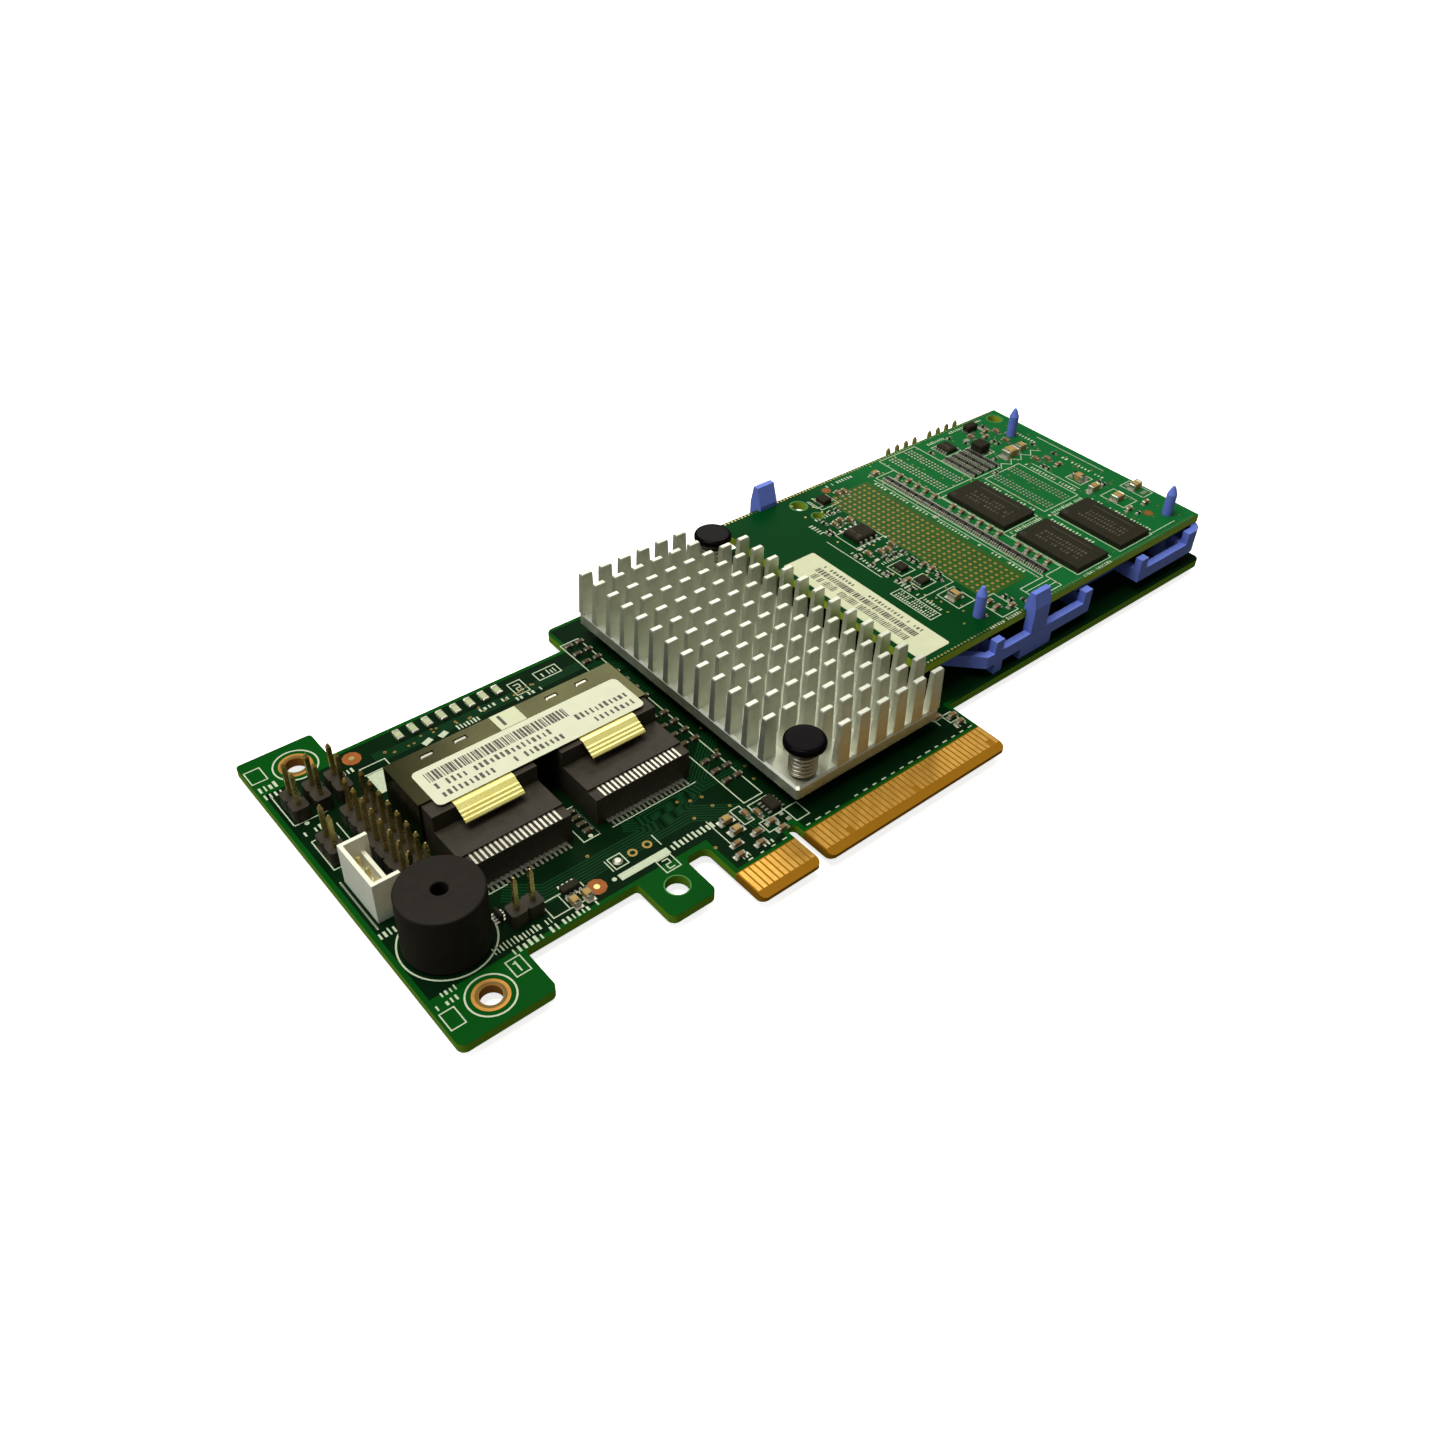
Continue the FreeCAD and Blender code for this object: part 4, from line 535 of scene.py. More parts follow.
def main_board_print():
    """White print: part outlines, boxed marks, rings, the row mark of the spare header, short dashes."""
    parts = [outlines([
        (0.5, 7.9, 2.6, 10.9), (11.3, 9.8, 13.5, 12.7), (37.5, 12.0, 40.0, 14.6), (0.3, 63.6, 2.7, 66.6),
        (42.3, 57.3, 44.7, 60.6), (58.8, 8.3, 61.3, 11.3), (47.2, 58.3, 51.5, 60.5), (20.5, 15.0, 27.0, 18.1),
        (32.3, 16.9, 34.5, 19.2), (31.8, 24.0, 34.6, 31.0), (55.0, 11.2, 58.7, 15.1), (54.0, 9.0, 56.1, 11.3),
        (52.2, 12.4, 54.0, 15.9), (14.1, 55.3, 18.3, 57.0), (1.3, 27.9, 1.35, 38.4), (1.8, 41.0, 5.2, 47.8),
        (93.2, 9.2, 95.2, 11.2), (55.0, 15.9, 58.6, 63.8)], 0.18, 0, INK)]
    parts += [rings(*BRACKET_HOLES, 3.2, 3.45, 0, INK, 40), rings(*BUZZER, 6.5, 6.75, 0, INK, 56)]
    parts.append(plates([
        (36.05, 15.35, 8.6, 1.25), (1.35, 56.0, 0.18, 7.6), (3.9, 52.1, 5.0, 0.18), (40.2, 18.0, 0.16, 2.4),
        (31.8, 18.0, 0.16, 2.4), (48.1, 13.2, 0.16, 6.4), (23.2, 16.6, 0.16, 3.0), (16.5, 24.0, 5.0, 0.16),
        (44.5, 23.9, 15.5, 0.16), (6.3, 46.6, 0.16, 5.0), (92.2, 11.0, 1.9, 0.2), (91.4, 10.4, 0.2, 1.3),
        (34.6, 27.5, 0.16, 7.0)], 0, INK))
    lines = [
        (45.2, 56.0, 6.6, 6.85, 1.9), (58.6, 96.0, 6.6, 6.85, 1.9), (40.7, 48.8, 14.8, 16.2, 0.75),
        (12.8, 20.5, 13.0, 14.2, 0.8), (10.9, 20.2, 14.5, 15.8, 0.55), (2.0, 4.6, 13.0, 13.9, 0.6),
        (0.5, 4.0, 11.5, 12.4, 0.6), (0.3, 3.4, 61.2, 62.6, 0.7), (0.3, 3.4, 59.4, 60.6, 0.7),
        (30.4, 34.6, 55.8, 57.0, 0.6), (41.4, 46.6, 56.2, 57.1, 0.7), (1.4, 4.6, 49.2, 50.4, 0.7),
        (48.0, 51.0, 58.7, 60.1, 0.6), (46.9, 49.2, 7.2, 8.2, 0.5), (51.4, 53.6, 7.2, 8.0, 0.6),
        (0.6, 3.4, 26.0, 27.4, 0.7), (93.0, 96.0, 7.6, 8.5, 0.6), (20.9, 27.0, 13.2, 14.2, 0.7),
        (35.2, 41.0, 57.4, 58.2, 0.8), (11.6, 13.6, 57.2, 58.4, 0.6)]
    parts += [dashes(*line, 0) for line in lines]
    parts.append(discs([31.0, 33.3, 3.0], [15.6, 24.5, 51.6], 0.36, 0, INK))
    # the bare digits 1 and 2 of the boxed marks, in strokes
    parts.append(plates([(12.4, 11.25, 0.24, 1.9), (12.15, 11.9, 0.4, 0.22)], 0, INK))
    for x, y in ((38.75, 13.3), (43.5, 58.95)):
        parts.append(plates([(x, y + 0.85, 1.1, 0.2), (x, y, 1.1, 0.2), (x, y - 0.85, 1.1, 0.2),
                             (x + 0.45, y + 0.42, 0.2, 0.85), (x - 0.45, y - 0.42, 0.2, 0.85)], 0, INK))
    # white blocks beside the sockets
    parts.append(bars([15.6, 25.3, 28.1], [52.8, 56.4, 56.4], [2.6, 1.7, 1.5], [4.6, 1.0, 1.0], 0, INK,
                      [0.0, 0.35, 0.35]))
    piece("main_board_print", join(*parts), silk_ink, "label_white")


def main_board_metal():
    """Vias, bare pads, the rims of the holes and the alignment marks of the main board."""
    via_x = [47.3, 49.0, 50.9, 47.2, 51.0, 53.0, 14.2, 19.0, 30.6, 45.9, 60.4, 59.3, 60.6, 59.6]
    via_y = [22.2, 21.2, 20.8, 18.0, 18.4, 16.8, 21.4, 58.2, 21.5, 11.5, 22.0, 27.5, 33.0, 19.0]
    stray_x = random_marks.uniform(17.0, 46.0, 60)[:24]
    stray_y = random_marks.uniform(57.2, 58.6, 60)[:24]
    piece("main_board_vias", join(
        rings(via_x, via_y, 0.12, 0.27, 0, 0.03, 10), rings(stray_x, stray_y, 0.1, 0.22, 0, 0.03, 8),
        rings([36.0, 38.6], [18.1, 18.1], 0.42, 0.75, 0, 0.04, 20)), pad_tan, "gold_contacts")
    pads = plates([(24.2, 15.0, 1.0, 1.5), (26.1, 15.0, 1.0, 1.5), (48.6, 10.0, 1.2, 0.8), (52.5, 10.0, 1.4, 0.8),
                   (58.1, 9.4, 0.8, 0.7), (57.9, 10.8, 0.7, 0.6), (56.2, 9.9, 0.7, 0.9)], 0, 0.06)
    piece("main_board_pads", join(pads, discs(33.4, 18.1, 0.78, 0, 0.22, 20, 0.6)), tin, "tinned_metal")
    piece("hole_webs", rings(*BRACKET_HOLES, 1.65, 2.1, 0.05, 0.07, 40), web_brown, "bare_copper_rings")
    piece("stop_hole_rim", rings(37.2, 9.3, 1.76, 1.95, 0, 0.03, 40), rim_green, "board_mask")
    marks = ([28.3, 14.4], [16.0, 60.0])
    piece("alignment_fields", discs(*marks, 1.5, 0, 0.02, 10), mark_brown, "board_mask")
    piece("alignment_dots", discs(*marks, 0.45, 0.02, 0.06, 20), pin_gold, "gold_contacts")


def copper_planes_and_shade():
    """Dark fields where the mask lies over copper, set back from the board's edges and tabs, the last one, under
    the cache board, painted shade as well; plated holes.
    """
    # The last field, x 95.6 to 167, under the cache board, is copper and painted shade.
    x0, y0, x1, y1 = np.array([(0.7, 13.6, 12.4, 60.6), (12.4, 13.6, 45.8, 62.0), (45.8, 6.5, 55.5, 62.0),
                               (55.5, 9.0, 58.8, 62.0), (55.9, 62.0, 58.8, 68.2), (58.8, 6.5, 95.6, 68.2),
                               (95.6, 13.2, 167.0, 68.2)]).T
    piece("copper_planes_and_shade", bars((x0 + x1) / 2, (y0 + y1) / 2, x1 - x0, y1 - y0, 0, 0.01), plane_and_shade_mask,
          "board_mask")
    piece("plated_holes", rings(*BRACKET_HOLES, 1.58, 1.65, -BOARD_T, 0, 40), copper, "bare_copper_rings")


def main_board_tracks():
    """Bundles of covered tracks that fan out behind the two sockets and under the heatsink."""
    bundles = []
    for path, count, pitch in (
            ([(17.5, 23.2), (22.0, 19.4), (47.0, 19.4), (54.0, 14.5), (55.0, 7.6)], 7, 0.52),
            ([(38.0, 23.4), (42.5, 20.6), (50.0, 22.2), (61.0, 31.0)], 6, 0.5),
            ([(40.0, 22.6), (62.0, 22.6)], 4, 0.55),
            ([(18.0, 59.0), (18.0, 57.6), (55.0, 57.6), (62.0, 52.0)], 5, 0.42),
            ([(54.0, 48.0), (60.5, 48.0)], 12, 0.6),
            ([(2.2, 40.2), (13.2, 40.2)], 2, 0.6)):
        bundles.append(tracks(path, (np.arange(count) - (count - 1) / 2) * pitch, 0.22, 0, 0.018))
    piece("main_board_tracks", join(*bundles), track_green, "board_mask")


# ---- heatsink

def heatsink_body():
    """Sawn block: base with broken edges, fins tapering from foot to tip with a small chamfer on top."""
    left, bottom, base_low, right, top, fin_top = node_box("heatsink")
    base = pillows(left, bottom, right, top, base_low, BASE_TOP, 0.35)
    column, row = np.meshgrid(np.arange(8), np.arange(15), indexing="ij")
    bare = ((column < 2) & (row < 2)) | ((column > 5) & (row > 12))
    foot_x, foot_y, pitch_x, pitch_y = 1.25, 0.65, 3.97, 3.84
    cx = left + foot_x + pitch_x * column[~bare]
    cy = bottom + foot_y + pitch_y * row[~bare]
    sections = []
    for z, half_x, half_y in ((BASE_TOP - 0.1, foot_x, foot_y), (BASE_TOP + 0.35, 1.24, 0.64),
                              (fin_top - 0.16, 1.06, 0.47), (fin_top, 0.95, 0.36)):
        u = np.array([-1, 1, 1, -1]) * half_x
        v = np.array([-1, -1, 1, 1]) * half_y
        sections.append(np.stack([cx[:, None] + u, cy[:, None] + v, np.full((len(cx), 4), z)], -1))
    piece("sawn_heatsink", join(base, rows(np.stack(sections, 1))), aluminium, "heatsink_metal", "heatsink")


def sprung_pins():
    """Push pins turned from a rounded profile, and round-wire springs under their heads."""
    head_low = BASE_TOP + 4.3
    profile = [(0.9, -BOARD_T - 1.6), (1.8, -BOARD_T), (1.3, -1.5), (1.3, head_low),
               (2.3, head_low), (2.5, head_low + 0.25), (3.0, head_low + 0.9), (3.3, head_low + 1.3),
               *arc(2.75, head_low + 1.75, 0.55, 9), (2.0, head_low + 2.3)]
    for place in ("near", "far"):
        x0, y0, _, x1, y1, _ = node_box("heatsink_push_pin_" + place)
        x, y = (x0 + x1) / 2, (y0 + y1) / 2
        piece("push_pin_" + place, turned(profile, x, y), black_gloss, "push_pin_plastic",
              "heatsink_push_pin_" + place, smooth=38)
        piece("pin_spring_" + place, coil(x, y, BASE_TOP, head_low, 1.95, 0.3, 5), spring_metal,
              "spring_steel", "heatsink_spring_" + place, smooth=60)


# ---- sockets, buzzer, headers and lamps

def label_print():
    """Dark generic print on the labels: code bars and lines of short strokes; spring windows of the sockets."""
    top = SHELL_TOP + LABEL_T
    marks = [code_bars(17.1, 40.6, 39.7, 41.8, top)]
    marks += [dashes(*line, 0.85, top) for line in (
        (17.1, 36.6, 37.95, 39.2), (40.9, 50.4, 38.1, 39.4), (17.1, 25.8, 36.0, 37.25),
        (28.8, 38.4, 36.0, 37.25), (42.9, 50.4, 36.1, 37.35))]
    marks.append(bars(32.1, 44.9, 0.5, 2.4, top, top + INK))
    face = CACHE_Z + LABEL_T
    marks += [dashes(22.0, 45.0, 94.2, 95.9, 0.42, face, upright=False),
              code_bars(21.8, 45.8, 96.2, 97.5, face, upright=False),
              dashes(21.8, 34.6, 98.1, 98.9, 0.75, face, upright=False),
              dashes(38.0, 45.6, 98.1, 98.9, 0.75, face, upright=False)]
    windows = np.array([left + 8.9 + side * 2.75 for left in SOCKETS_LEFT for side in (-1, 1)])
    piece("window_springs", pillows(windows - 1.0, 44.9, windows + 1.0, 45.5, 8.2, 8.42, 0.1), tin,
          "tinned_metal")
    piece("label_print", join(*marks), label_ink, "label_cream")


def buzzer():
    """Turned case: narrow foot, rounded shoulder, flat top with a sound hole."""
    profile = [(5.7, 0.0), (5.75, 0.35), (6.0, 0.4), *arc(5.65, 9.85, 0.35, 7), (1.25, 10.2), (1.15, 10.1),
               (1.15, 7.7)]
    piece("buzzer_can", turned(profile, *BUZZER, 72), buzzer_plastic, "black_plastic", "buzzer_case", smooth=35)


def lamps():
    """Chip lamps: a resin lens body with tinned ends."""
    body, ends = soldered(sized([(22.4 + PITCH * n, 60.2) for n in range(8)], LAMP_SIZE, 1), 0)
    piece("lamp_lenses", body, lamp_resin, "lamp_plastic", "status_lamps")
    piece("lamp_ends", ends, tin, "tinned_metal")


# ---- small parts of the main board

def main_small_parts():
    """Capacitors with tinned ends in the strip beside the heatsink, between the sockets and by the tongue."""
    strip = [(x, 21 + 2.6 * n) for x in (55.9, 58.1) for n in range(17) if n % 5 != 3]
    between = [(33.4, 25.4 + 1.5 * n) for n in range(4)]
    brown = (sized([(47.7, 8.1), (51.6, 8.1), (48.7, 10.1), (52.6, 10.1), (55.6, 10.4), (56.0, 8.4)], CHIP_SIZE)
             + sized([(53.6, 13.9), (55.2, 13.0)], CHIP_SIZE, 1)
             + sized([(92.2, 11.4), (94.6, 10.2), (94.4, 8.4)], CHIP_SIZE))
    tan = sized([(50.4, 14.6), (50.4, 12.2)], TAN_SIZE) + sized([(24.3, 15.6), (26.4, 15.6)], TAN_SIZE, 1)
    dark_body, dark_ends = soldered(sized(strip + between, CHIP_SIZE), 0)
    body, ends = soldered(brown, 0)
    tan_body, tan_ends = soldered(tan, 0)
    piece("main_ceramic_bodies", body, ceramic, "capacitor_ceramic", "main_board_capacitors")
    piece("strip_bodies", dark_body, dark_ceramic, "capacitor_ceramic")
    piece("strip_ends", dark_ends, dull_tin, "tinned_metal")
    piece("main_tan_bodies", tan_body, tan_resin, "tan_capacitor", "main_board_tan_capacitors")
    piece("main_part_ends", join(ends, tan_ends, pads_under(brown + tan, 0)), tin, "tinned_metal")


def solder_joints():
    """Solder cones round every pin that comes through the back of the main board."""
    low, face = -BOARD_T - 0.75, -BOARD_T
    pins = [(8.3 + PITCH * i, 30.2 + PITCH * j) for i in range(2) for j in range(8)]
    pins += [(x, 53.4 + PITCH * j) for x in (3.0, 6.4, 9.85) for j in range(2)]
    pins += [(3.2, 42.7 + PITCH * j) for j in range(2)] + [(16.5 + PITCH * i, 17.7) for i in range(2)]
    pins += [(x + PITCH * i, 67.6) for x in (136.8, 148.8) for i in range(4)]
    pins += [(3.6, 30.95 + 2.5 * i) for i in range(3)] + [(BUZZER[0], BUZZER[1] + y) for y in (-3.25, 3.25)]
    pins += [(left + x, y) for left in SOCKETS_LEFT for x in (0.15, 17.65) for y in (38.9, 44.7)]
    cone = turned([(0.45, low), (0.5, low + 0.2), (0.72, low + 0.5), (0.95, face)], *np.array(pins).T, 12)
    piece("back_solder_joints", cone, tin, "tinned_metal", smooth=50)


# ---- chips

def chips():
    """Moulded packages with broken edges; the pin-one dimple is a shallow ring, the marks plain strokes."""
    marks, dimples = [], []
    for name in MEMORY_CHIPS + LEADED_CHIPS:
        x0, y0, z0, x1, y1, z1 = node_box(name)
        piece(name + "_package", pillows(x0, y0, x1, y1, z0, z1, 0.12 if name in MEMORY_CHIPS else 0.25),
              chip_black, "chip_package", name)
        if name in MEMORY_CHIPS:
            marks += [dashes(y0 + 2.0, y1 - 2.6, x0 + inset, x0 + inset + 0.8, 0.7, z1, upright=False)
                      for inset in (2.0, 3.3, 4.5)]
            marks.append(bars(x1 - 1.6, (y0 + y1) / 2, 0.14, y1 - y0 - 5, z1, z1 + INK))
            dimples.append(rings(x0 + 0.9, y1 - 0.9, 0.32, 0.42, z1, z1 + 0.02, 16))
        else:
            marks.append(dashes(y0 + 0.5, y1 - 0.5, x0 + 0.9, x0 + 1.5, 0.45, z1, upright=False))
            dimples.append(rings(x0 + 0.7, y0 + 0.7, 0.2, 0.28, z1, z1 + 0.02, 12))
    piece("chip_marks", join(*marks, *dimples), laser_mark, "chip_package")


def main_small_chips():
    """Three small moulded parts of the main board with tinned feet on both long sides."""
    corner = np.array([(56.9, 11.6, 2.0, 3.0, 1.0), (23.6, 17.2, 3.0, 1.5, 1.0), (14.4, 18.6, 0.8, 2.2, 1.4)])
    x, y, length, width, height = corner.T
    piece("main_chip_bodies", pillows(x + 0.1, y + 0.1, x + length - 0.1, y + width - 0.1, 0.06, height, 0.14),
          chip_black, "chip_package", "main_board_small_chips")
    feet, share = [], (np.arange(4) + 0.5) / 4
    for x0, y0, length, width, _ in corner:
        if length > width:
            feet += [bars(x0 + length * share, side, 0.32, 0.8, 0, 0.22)
                     for side in (y0 - 0.15, y0 + width + 0.15)]
        else:
            feet += [bars(side, y0 + width * share, 0.8, 0.32, 0, 0.22)
                     for side in (x0 - 0.15, x0 + length + 0.15)]
    piece("main_chip_feet", join(*feet), tin, "tinned_metal")


# ---- cache board

def cache_board_print():
    """White print: outlines of chips and empty places, leaders, rows of short strokes."""
    level = CACHE_Z
    ink = (level, level + INK)
    parts = [outlines([
        (101.9, 23.3, 104.4, 32.7), (121.0, 16.4, 127.8, 20.0), (127.3, 20.0, 132.2, 61.6),
        (110.5, 60.3, 112.0, 63.0), (132.3, 50.3, 142.4, 65.7), (142.8, 49.8, 150.0, 58.6),
        (144.4, 33.8, 154.4, 48.6), (132.5, 33.6, 142.1, 49.0), (132.6, 16.6, 142.1, 31.9),
        (144.9, 16.6, 154.4, 31.9), (157.8, 35.8, 161.5, 39.5), (157.8, 25.5, 162.0, 31.0),
        (164.0, 25.5, 167.0, 31.0), (108.1, 22.6, 112.2, 27.6), (112.2, 16.4, 116.2, 22.0),
        (106.9, 46.2, 113.9, 51.6), (144.7, 59.0, 148.9, 63.3), (150.1, 54.6, 154.0, 58.9),
        (110.9, 59.4, 115.2, 63.0), (107.2, 35.2, 110.6, 38.8), (107.2, 30.4, 110.8, 33.6)], 0.17, *ink)]
    parts.append(plates([
        (108.9, 28.6, 9.0, 0.16), (113.3, 32.4, 0.16, 7.2), (124.4, 18.8, 6.6, 0.15), (124.4, 17.6, 6.6, 0.15),
        (158.2, 16.8, 7.4, 0.16), (126.4, 40.8, 0.15, 41.0), (156.6, 41.0, 0.16, 12.0), (104.2, 44.0, 0.16, 14.0),
        (165.9, 45.0, 0.16, 17.0)], *ink))
    zigzag = [(150.0 + 1.5 * n, 50.7 if n % 2 else 49.3) for n in range(9)]
    parts.append(tracks(zigzag, [0.0], 0.16, *ink))
    across = [
        (23.8, 32.2, 102.2, 102.8, 0.5), (23.8, 32.2, 103.0, 103.5, 0.5), (23.8, 32.2, 103.7, 104.2, 0.5),
        (24.0, 30.0, 105.1, 105.9, 0.6), (32.0, 35.2, 105.0, 106.4, 0.8), (37.0, 46.0, 105.0, 105.8, 0.7),
        (52.6, 56.8, 104.9, 106.0, 0.6), (22.0, 34.0, 125.4, 126.1, 0.8), (36.0, 44.0, 125.4, 126.0, 0.7),
        (46.2, 60.5, 125.4, 126.1, 0.8), (20.5, 31.5, 143.0, 143.8, 0.7), (34.4, 48.0, 143.0, 143.7, 0.75),
        (35.0, 47.8, 155.0, 155.8, 0.7), (17.5, 31.5, 155.1, 155.9, 0.7), (52.0, 58.0, 163.4, 164.2, 0.7),
        (33.0, 46.0, 163.2, 164.0, 0.8)]
    along = [
        (132.6, 142.0, 32.3, 33.2, 0.6), (145.0, 154.2, 32.3, 33.1, 0.6), (107.2, 113.8, 57.0, 57.8, 0.6),
        (107.0, 113.0, 39.6, 40.4, 0.6), (117.0, 124.0, 64.6, 65.4, 0.7), (144.2, 149.8, 64.2, 65.0, 0.6),
        (108.0, 116.0, 15.3, 16.0, 0.6), (133.0, 141.0, 15.4, 16.1, 0.6), (152.0, 162.0, 65.0, 65.7, 0.7)]
    parts += [dashes(*line, level, upright=False) for line in across]
    parts += [dashes(*line, level) for line in along]
    parts.append(discs([132.0, 144.1, 113.9], [49.4, 32.4, 45.8], 0.3, *ink, 12))
    piece("cache_board_print", join(*parts), silk_ink, "label_white")


def cache_board_metal():
    """Connector field, bare ball pads, hole rims, vias and alignment marks of the cache board."""
    level = CACHE_Z
    thin = (level, level + 0.03)
    piece("connector_ground", bars(119.4, 41.7, 11.4, 40.0, level, level + 0.02), ground_copper, "board_mask")
    column, row = np.meshgrid(114.6 + PITCH / 2 * np.arange(8), 22.8 + PITCH / 2 * np.arange(31), indexing="ij")
    column, row = column.ravel(), row.ravel()
    piece("connector_pads", discs(column, row, 0.31, level + 0.02, level + 0.06, 12), pad_tan, "gold_contacts")
    # Dark discs at the holes of the connector field: painted shade in the holes.
    piece("connector_hole_shade", discs(column[::2] + 0.63, row[::2] + 0.63, 0.17, level + 0.02, level + 0.03, 8),
          laser_mark, "chip_package")
    pads = []
    for left, bottom in (((134.4, 139.0), 51.2), ((146.0, 150.9), 34.6)):
        columns = np.concatenate([start + 0.8 * np.arange(3) for start in left])
        cx, cy = np.meshgrid(columns, bottom + 0.8 * np.arange(18), indexing="ij")
        pads.append(discs(cx.ravel(), cy.ravel(), 0.23, level, level + 0.04, 10))
    edge = [(92.4 + 0.8 * n, y) for y in (15.7, 66.3) for n in range(93)]
    loose = random_marks.uniform((105.6, 17.0), (165.5, 65.5), (420, 2))
    x, y = loose.T
    clear = (x < 113.4) | (x > 125.6)
    for name in MEMORY_CHIPS + LEADED_CHIPS:
        x0, y0, _, x1, y1, _ = node_box(name)
        clear &= ~((x > x0 - 0.6) & (x < x1 + 0.6) & (y > y0 - 0.6) & (y < y1 + 0.6))
    vias = np.concatenate([edge, loose[clear]])
    piece("cache_ball_pads", join(*pads), tin, "tinned_metal")
    piece("cache_vias", rings(*vias.T, 0.11, 0.22, *thin, 8), pin_gold, "gold_contacts")
    piece("cache_hole_rims", join(rings([108.3, 164.7], [63.0, 63.9], 1.5, 1.8, *thin, 32),
                                  rings(108.9, 58.4, 1.05, 1.3, *thin, 28)), rim_green, "board_mask")
    marks = ([116.3, 160.1], [64.0, 21.5])
    piece("cache_alignment_marks", join(rings(*marks, 0.55, 0.9, *thin, 20),
                                        discs(*marks, 0.4, *thin)), mark_brown, "bare_copper_rings")
    piece("cache_bare_pads", plates([
        (151.0, 55.5, 1.0, 1.6), (153.0, 55.5, 0.8, 1.6), (153.0, 61.2, 1.3, 1.0), (156.8, 33.0, 1.3, 0.9),
        (156.4, 62.9, 0.9, 1.6), (159.0, 62.9, 0.9, 1.6), (107.4, 41.4, 0.9, 0.6), (107.4, 45.6, 0.9, 0.6),
        (126.2, 45.0, 0.9, 0.9), (158.9, 37.0, 1.0, 1.2), (160.5, 37.0, 1.0, 1.2), (165.6, 30.2, 1.6, 0.8),
        (165.6, 26.6, 1.6, 0.8)], level, level + 0.06), tin, "tinned_metal")


def cache_small_parts():
    """Chip capacitors, resistor arrays and power parts of the cache board, all with tinned ends."""
    level = CACHE_Z
    line = [(128.6, 21.6 + 2.1 * n) for n in range(19)]
    field = [(143.6 + 2 * i, 51.2 + 2.1 * j) for i in range(4) for j in range(4)]
    x, y = np.array(line + field).T
    piece("array_bodies", pillows(x - 0.5, y - 0.9, x + 0.5, y + 0.9, level, level + 0.46, 0.06), resistor_black,
          "resistor_dark", "cache_resistor_arrays")
    ends = []
    for side in (-1, 1):
        for step in range(4):
            ends.append(bars(x[:19] + side * 1.0, y[:19] - 0.75 + 0.5 * step, 0.7, 0.3, level, level + 0.05))
            ends.append(pillows(x + side * 0.6 - 0.24, y - 0.9 + 0.5 * step, x + side * 0.6 + 0.24,
                                y - 0.9 + 0.5 * step + 0.3, level, level + 0.44, 0.05))
    piece("array_ends", join(*ends), tin, "tinned_metal")
    beside_line = [(131.2, 22.2 + 2.3 * n) for n in range(17) if n not in (4, 11)]
    turned_ones = [(109.2, 54.0), (111.0, 54.4), (112.6, 53.6), (109.6, 42.6), (111.2, 42.4), (113.0, 43.2),
                   (107.4, 43.6), (117.2, 61.6), (118.6, 61.4), (158.4, 47.6), (160.4, 46.2), (160.6, 59.8),
                   (154.6, 61.4), (159.4, 56.2)]
    straight_ones = [(112.6, 35.2), (112.8, 33.4), (106.9, 33.6), (113.4, 20.6), (113.4, 18.8), (115.8, 17.6),
                     (160.2, 43.4), (156.8, 59.6), (158.6, 61.2), (158.0, 24.4), (162.6, 24.0)]
    brown = sized(beside_line, CHIP_SIZE) + sized(turned_ones, CHIP_SIZE, 1) + sized(straight_ones, CHIP_SIZE)
    body, caps = soldered(brown, level)
    piece("cache_ceramic_bodies", body, ceramic, "capacitor_ceramic", "cache_capacitors")
    corner = np.array([
        (153.9, 50.9, 3.5, 2.2, 1.6), (158.3, 51.6, 2.2, 1.6, 1.2), (127.2, 62.2, 1.6, 1.0, 0.8),
        (109.0, 24.4, 2.0, 2.0, 1.2), (158.2, 27.4, 2.6, 1.8, 1.2), (164.4, 28.0, 2.6, 1.6, 1.3),
        (158.6, 36.4, 1.6, 2.4, 1.2), (157.4, 32.6, 2.6, 1.4, 1.2)])
    x0, y0, length, width, height = corner.T
    tan = np.stack([x0 + length / 2, y0 + width / 2, np.maximum(length, width), np.minimum(length, width), height,
                    width > length], 1)
    tan_body, tan_caps = soldered(tan, level)
    piece("cache_tan_bodies", tan_body, tan_resin, "tan_capacitor", "cache_tan_capacitors")
    power = np.array([
        (150.6, 55.4, 2.8, 2.8, 1.9), (155.2, 62.9, 3.0, 1.6, 1.4), (112.0, 60.2, 2.2, 2.3, 1.0),
        (107.9, 35.9, 1.9, 2.2, 0.9), (107.9, 31.0, 2.2, 1.9, 0.8)])
    x0, y0, length, width, height = power.T
    piece("power_bodies", pillows(x0, y0, x0 + length, y0 + width, level + 0.05, level + height, 0.18),
          chip_black, "chip_package", "cache_power_parts")
    feet = []
    for side in (x0 - 0.05, x0 + length + 0.05):
        for share in (0.2, 0.5, 0.8):
            feet.append(bars(side, y0 + width * share, 0.6, 0.4, level, level + 0.25))
    piece("cache_part_ends", join(caps, tan_caps, pads_under(brown, level), pads_under(tan, level), *feet), tin,
          "tinned_metal")


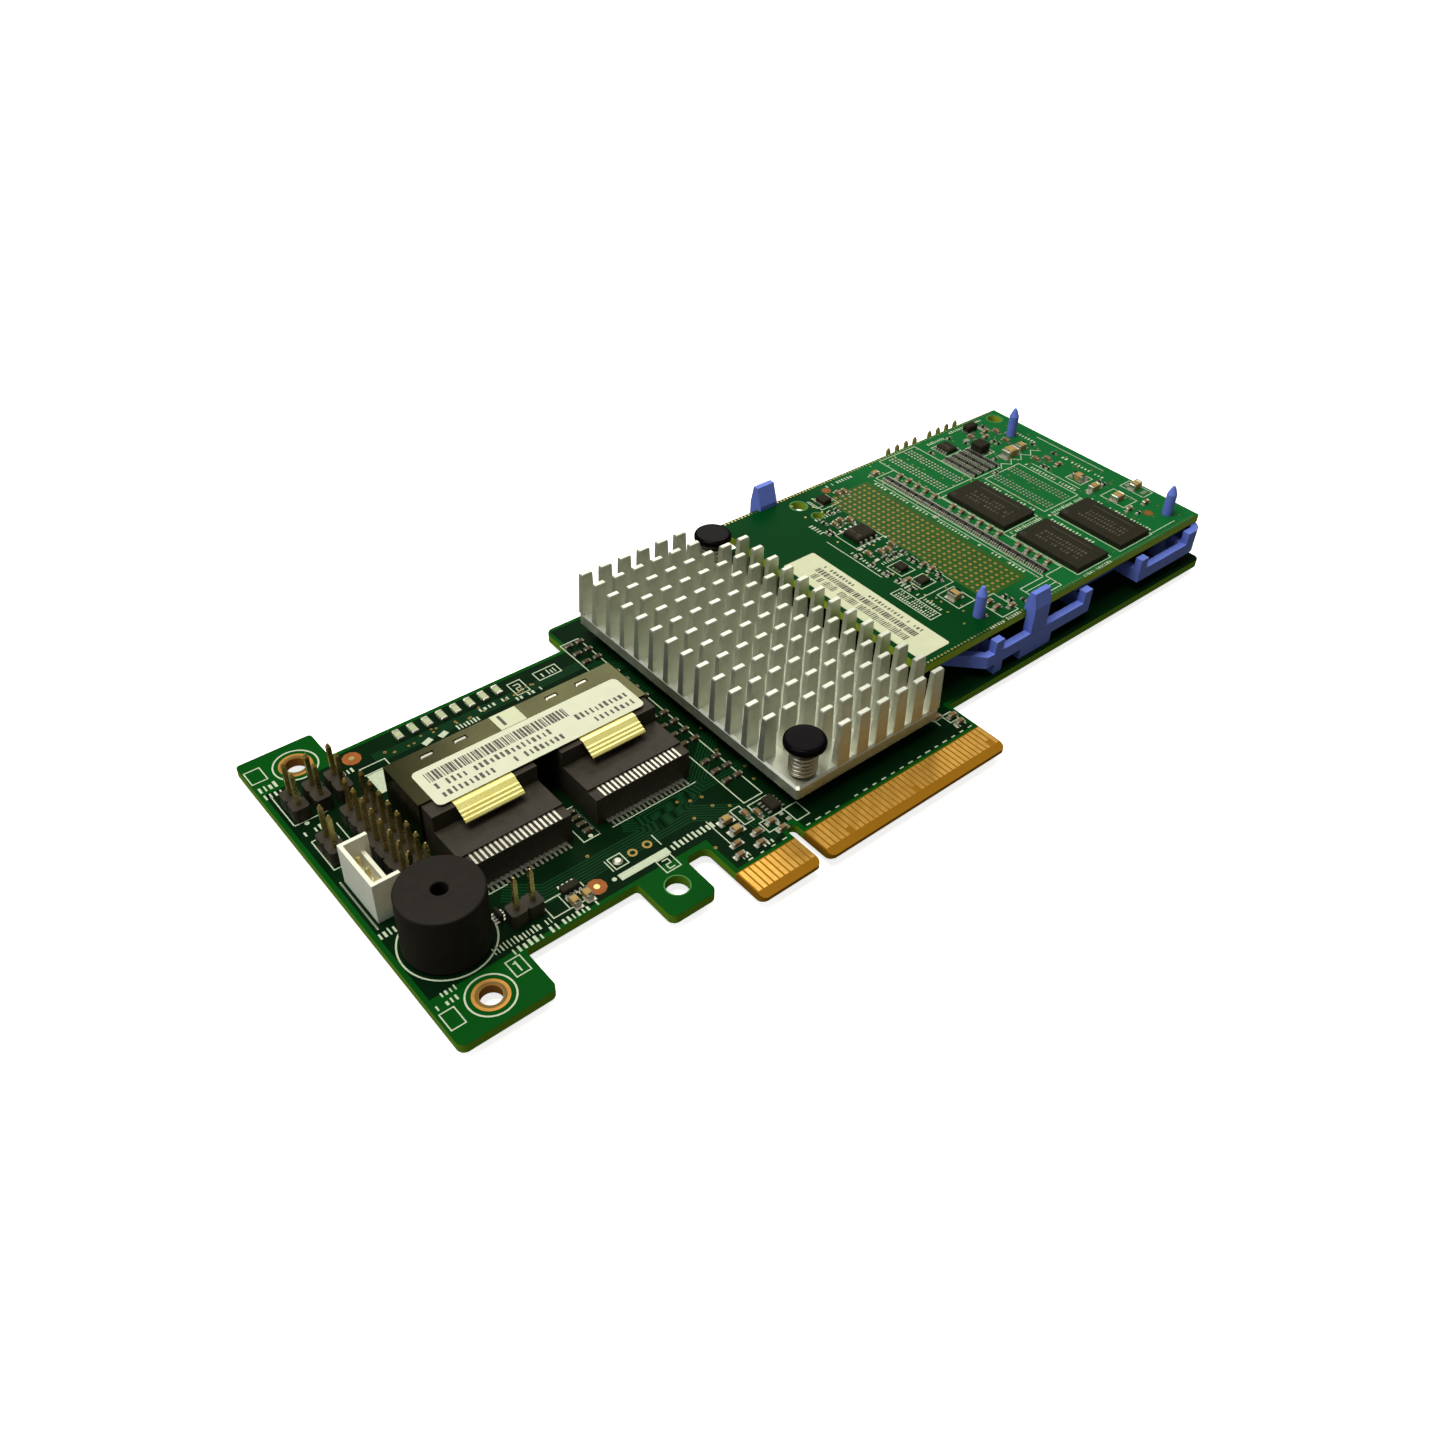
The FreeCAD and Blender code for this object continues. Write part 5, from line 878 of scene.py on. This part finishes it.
def cache_resistors():
    """Small chip resistors scattered between the larger parts: glazed bodies and bright ends."""
    places = [
        (105.6, 36.6, 0), (105.6, 37.6, 0), (105.4, 40.8, 0), (105.4, 44.2, 0), (108.8, 40.8, 1), (110.2, 40.4, 1),
        (111.6, 40.6, 1), (112.9, 40.2, 1), (112.4, 38.0, 0), (112.4, 36.9, 0), (112.9, 31.6, 0), (111.8, 30.4, 1),
        (105.7, 34.6, 0), (105.7, 31.4, 0), (108.0, 55.6, 1), (106.6, 53.2, 0), (106.6, 52.2, 0), (113.0, 57.6, 1),
        (111.4, 57.6, 1), (117.0, 18.9, 0), (117.0, 20.2, 0), (118.9, 17.4, 1), (110.2, 18.8, 1), (151.8, 52.6, 0),
        (151.8, 60.2, 1), (150.4, 63.8, 0), (157.0, 57.6, 0), (157.0, 56.4, 0), (161.8, 57.8, 1), (162.6, 51.8, 1),
        (157.4, 45.0, 0), (157.4, 43.8, 0), (163.2, 46.8, 1), (161.6, 34.4, 0), (161.6, 33.2, 0), (158.4, 22.6, 0),
        (160.0, 62.8, 1), (156.2, 53.8, 0), (147.8, 48.9, 0), (143.2, 61.8, 1)]
    parts = [(x, y, *RESISTOR_SIZE, turned) for x, y, turned in places]
    body, ends = soldered(parts, CACHE_Z)
    piece("cache_resistor_bodies", body, resistor_black, "resistor_dark")
    piece("cache_resistor_ends", join(ends, pads_under(parts, CACHE_Z)), tin, "tinned_metal")


def back_vias():
    """Vias on the solder side of the main board."""
    face = -BOARD_T
    place = random_marks.uniform((3.0, 14.5), (94.0, 60.0), (260, 2))
    piece("back_vias", rings(*place.T, 0.12, 0.24, face - 0.03, face, 8), pin_gold, "gold_contacts")


for make in (copper_planes_and_shade, main_board_print, main_board_metal, main_board_tracks, heatsink_body, sprung_pins,
             label_print, buzzer, lamps, main_small_parts, solder_joints, chips, main_small_chips,
             cache_board_print, cache_board_metal, cache_small_parts, cache_resistors, back_vias):
    make()


# ---- floor, light and camera

def camera_ray(tree):
    """1 where the surface is looked at straight, 0 where it lights the part or is mirrored in it."""
    return tree.nodes.new("ShaderNodeLightPath").outputs["Is Camera Ray"]


def seen_or_lit(tree, lit, seen):
    """Colour that lights the part as lit and is looked at as seen."""
    return mixed(tree, camera_ray(tree), (*lit, 1), (*seen, 1))


def placed(name, data, location):
    """Object linked to the scene."""
    holder = bpy.data.objects.new(name, data)
    bpy.context.scene.collection.objects.link(holder)
    holder.location = location
    return holder


def studio():
    """Pale floor under the lowest pins, white surroundings, a warm key lamp, a cool fill and a back lamp."""
    floor_z = cad_low.z - 0.00005
    middle = (cad_low + cad_high) / 2
    mesh = bpy.data.meshes.new("floor")
    mesh.from_pydata([(-4, -4, floor_z), (4, -4, floor_z), (4, 4, floor_z), (-4, 4, floor_z)], [], [(0, 1, 2, 3)])
    material = bpy.data.materials.new("pale floor")
    material.use_nodes = True
    tree = material.node_tree
    surface = tree.nodes["Principled BSDF"].inputs
    glow = math_node(tree, "MULTIPLY", camera_ray(tree), 0.80)
    for label, value in (("Roughness", 0.9), ("Specular IOR Level", 0.1), ("Emission Color", (1, 1, 1, 1)),
                         ("Emission Strength", glow),
                         ("Base Color", seen_or_lit(tree, (0.13, 0.13, 0.10), (0.85, 0.84, 0.76)))):
        feed(tree, surface[label], value)
    mesh.materials.append(material)
    floor = placed("floor", mesh, (0, 0, 0))
    world = bpy.data.worlds.new("white surroundings")
    world.use_nodes = True
    tree = world.node_tree
    feed(tree, tree.nodes["Background"].inputs["Color"], seen_or_lit(tree, (0.22, 0.217, 0.185), (1, 1, 1)))
    bpy.context.scene.world = world
    for name, place, width, power, color in (("key", (-0.06, 0.10, 0.62), 0.40, 4.6, (1.0, 0.985, 0.87)),
                                             ("fill", (-0.50, 0.10, 0.25), 0.4, 0.9, (0.80, 0.88, 1.0)),
                                             ("back", (0.42, 0.50, 0.50), 0.35, 1.0, (1.0, 0.98, 0.90))):
        lamp = bpy.data.lights.new(name, "AREA")
        lamp.shape, lamp.size, lamp.energy, lamp.color = "DISK", width, power, color
        placed(name, lamp, place).rotation_euler = (middle - Vector(place)).to_track_quat("-Z", "Y").to_euler()
    lens = bpy.data.cameras.new("camera")
    lens.lens, lens.sensor_width = 32.5506, 36
    lens.shift_x, lens.shift_y = -0.02001, -0.01544
    lens.clip_start, lens.clip_end = 0.005, 20
    camera = placed("camera", lens, (-0.046922, -0.095481, 0.136897))
    camera.rotation_euler = (0.871421, -0.045297, -0.712422)
    bpy.context.scene.camera = camera
    bpy.context.scene.view_settings.view_transform = "Standard"


studio()
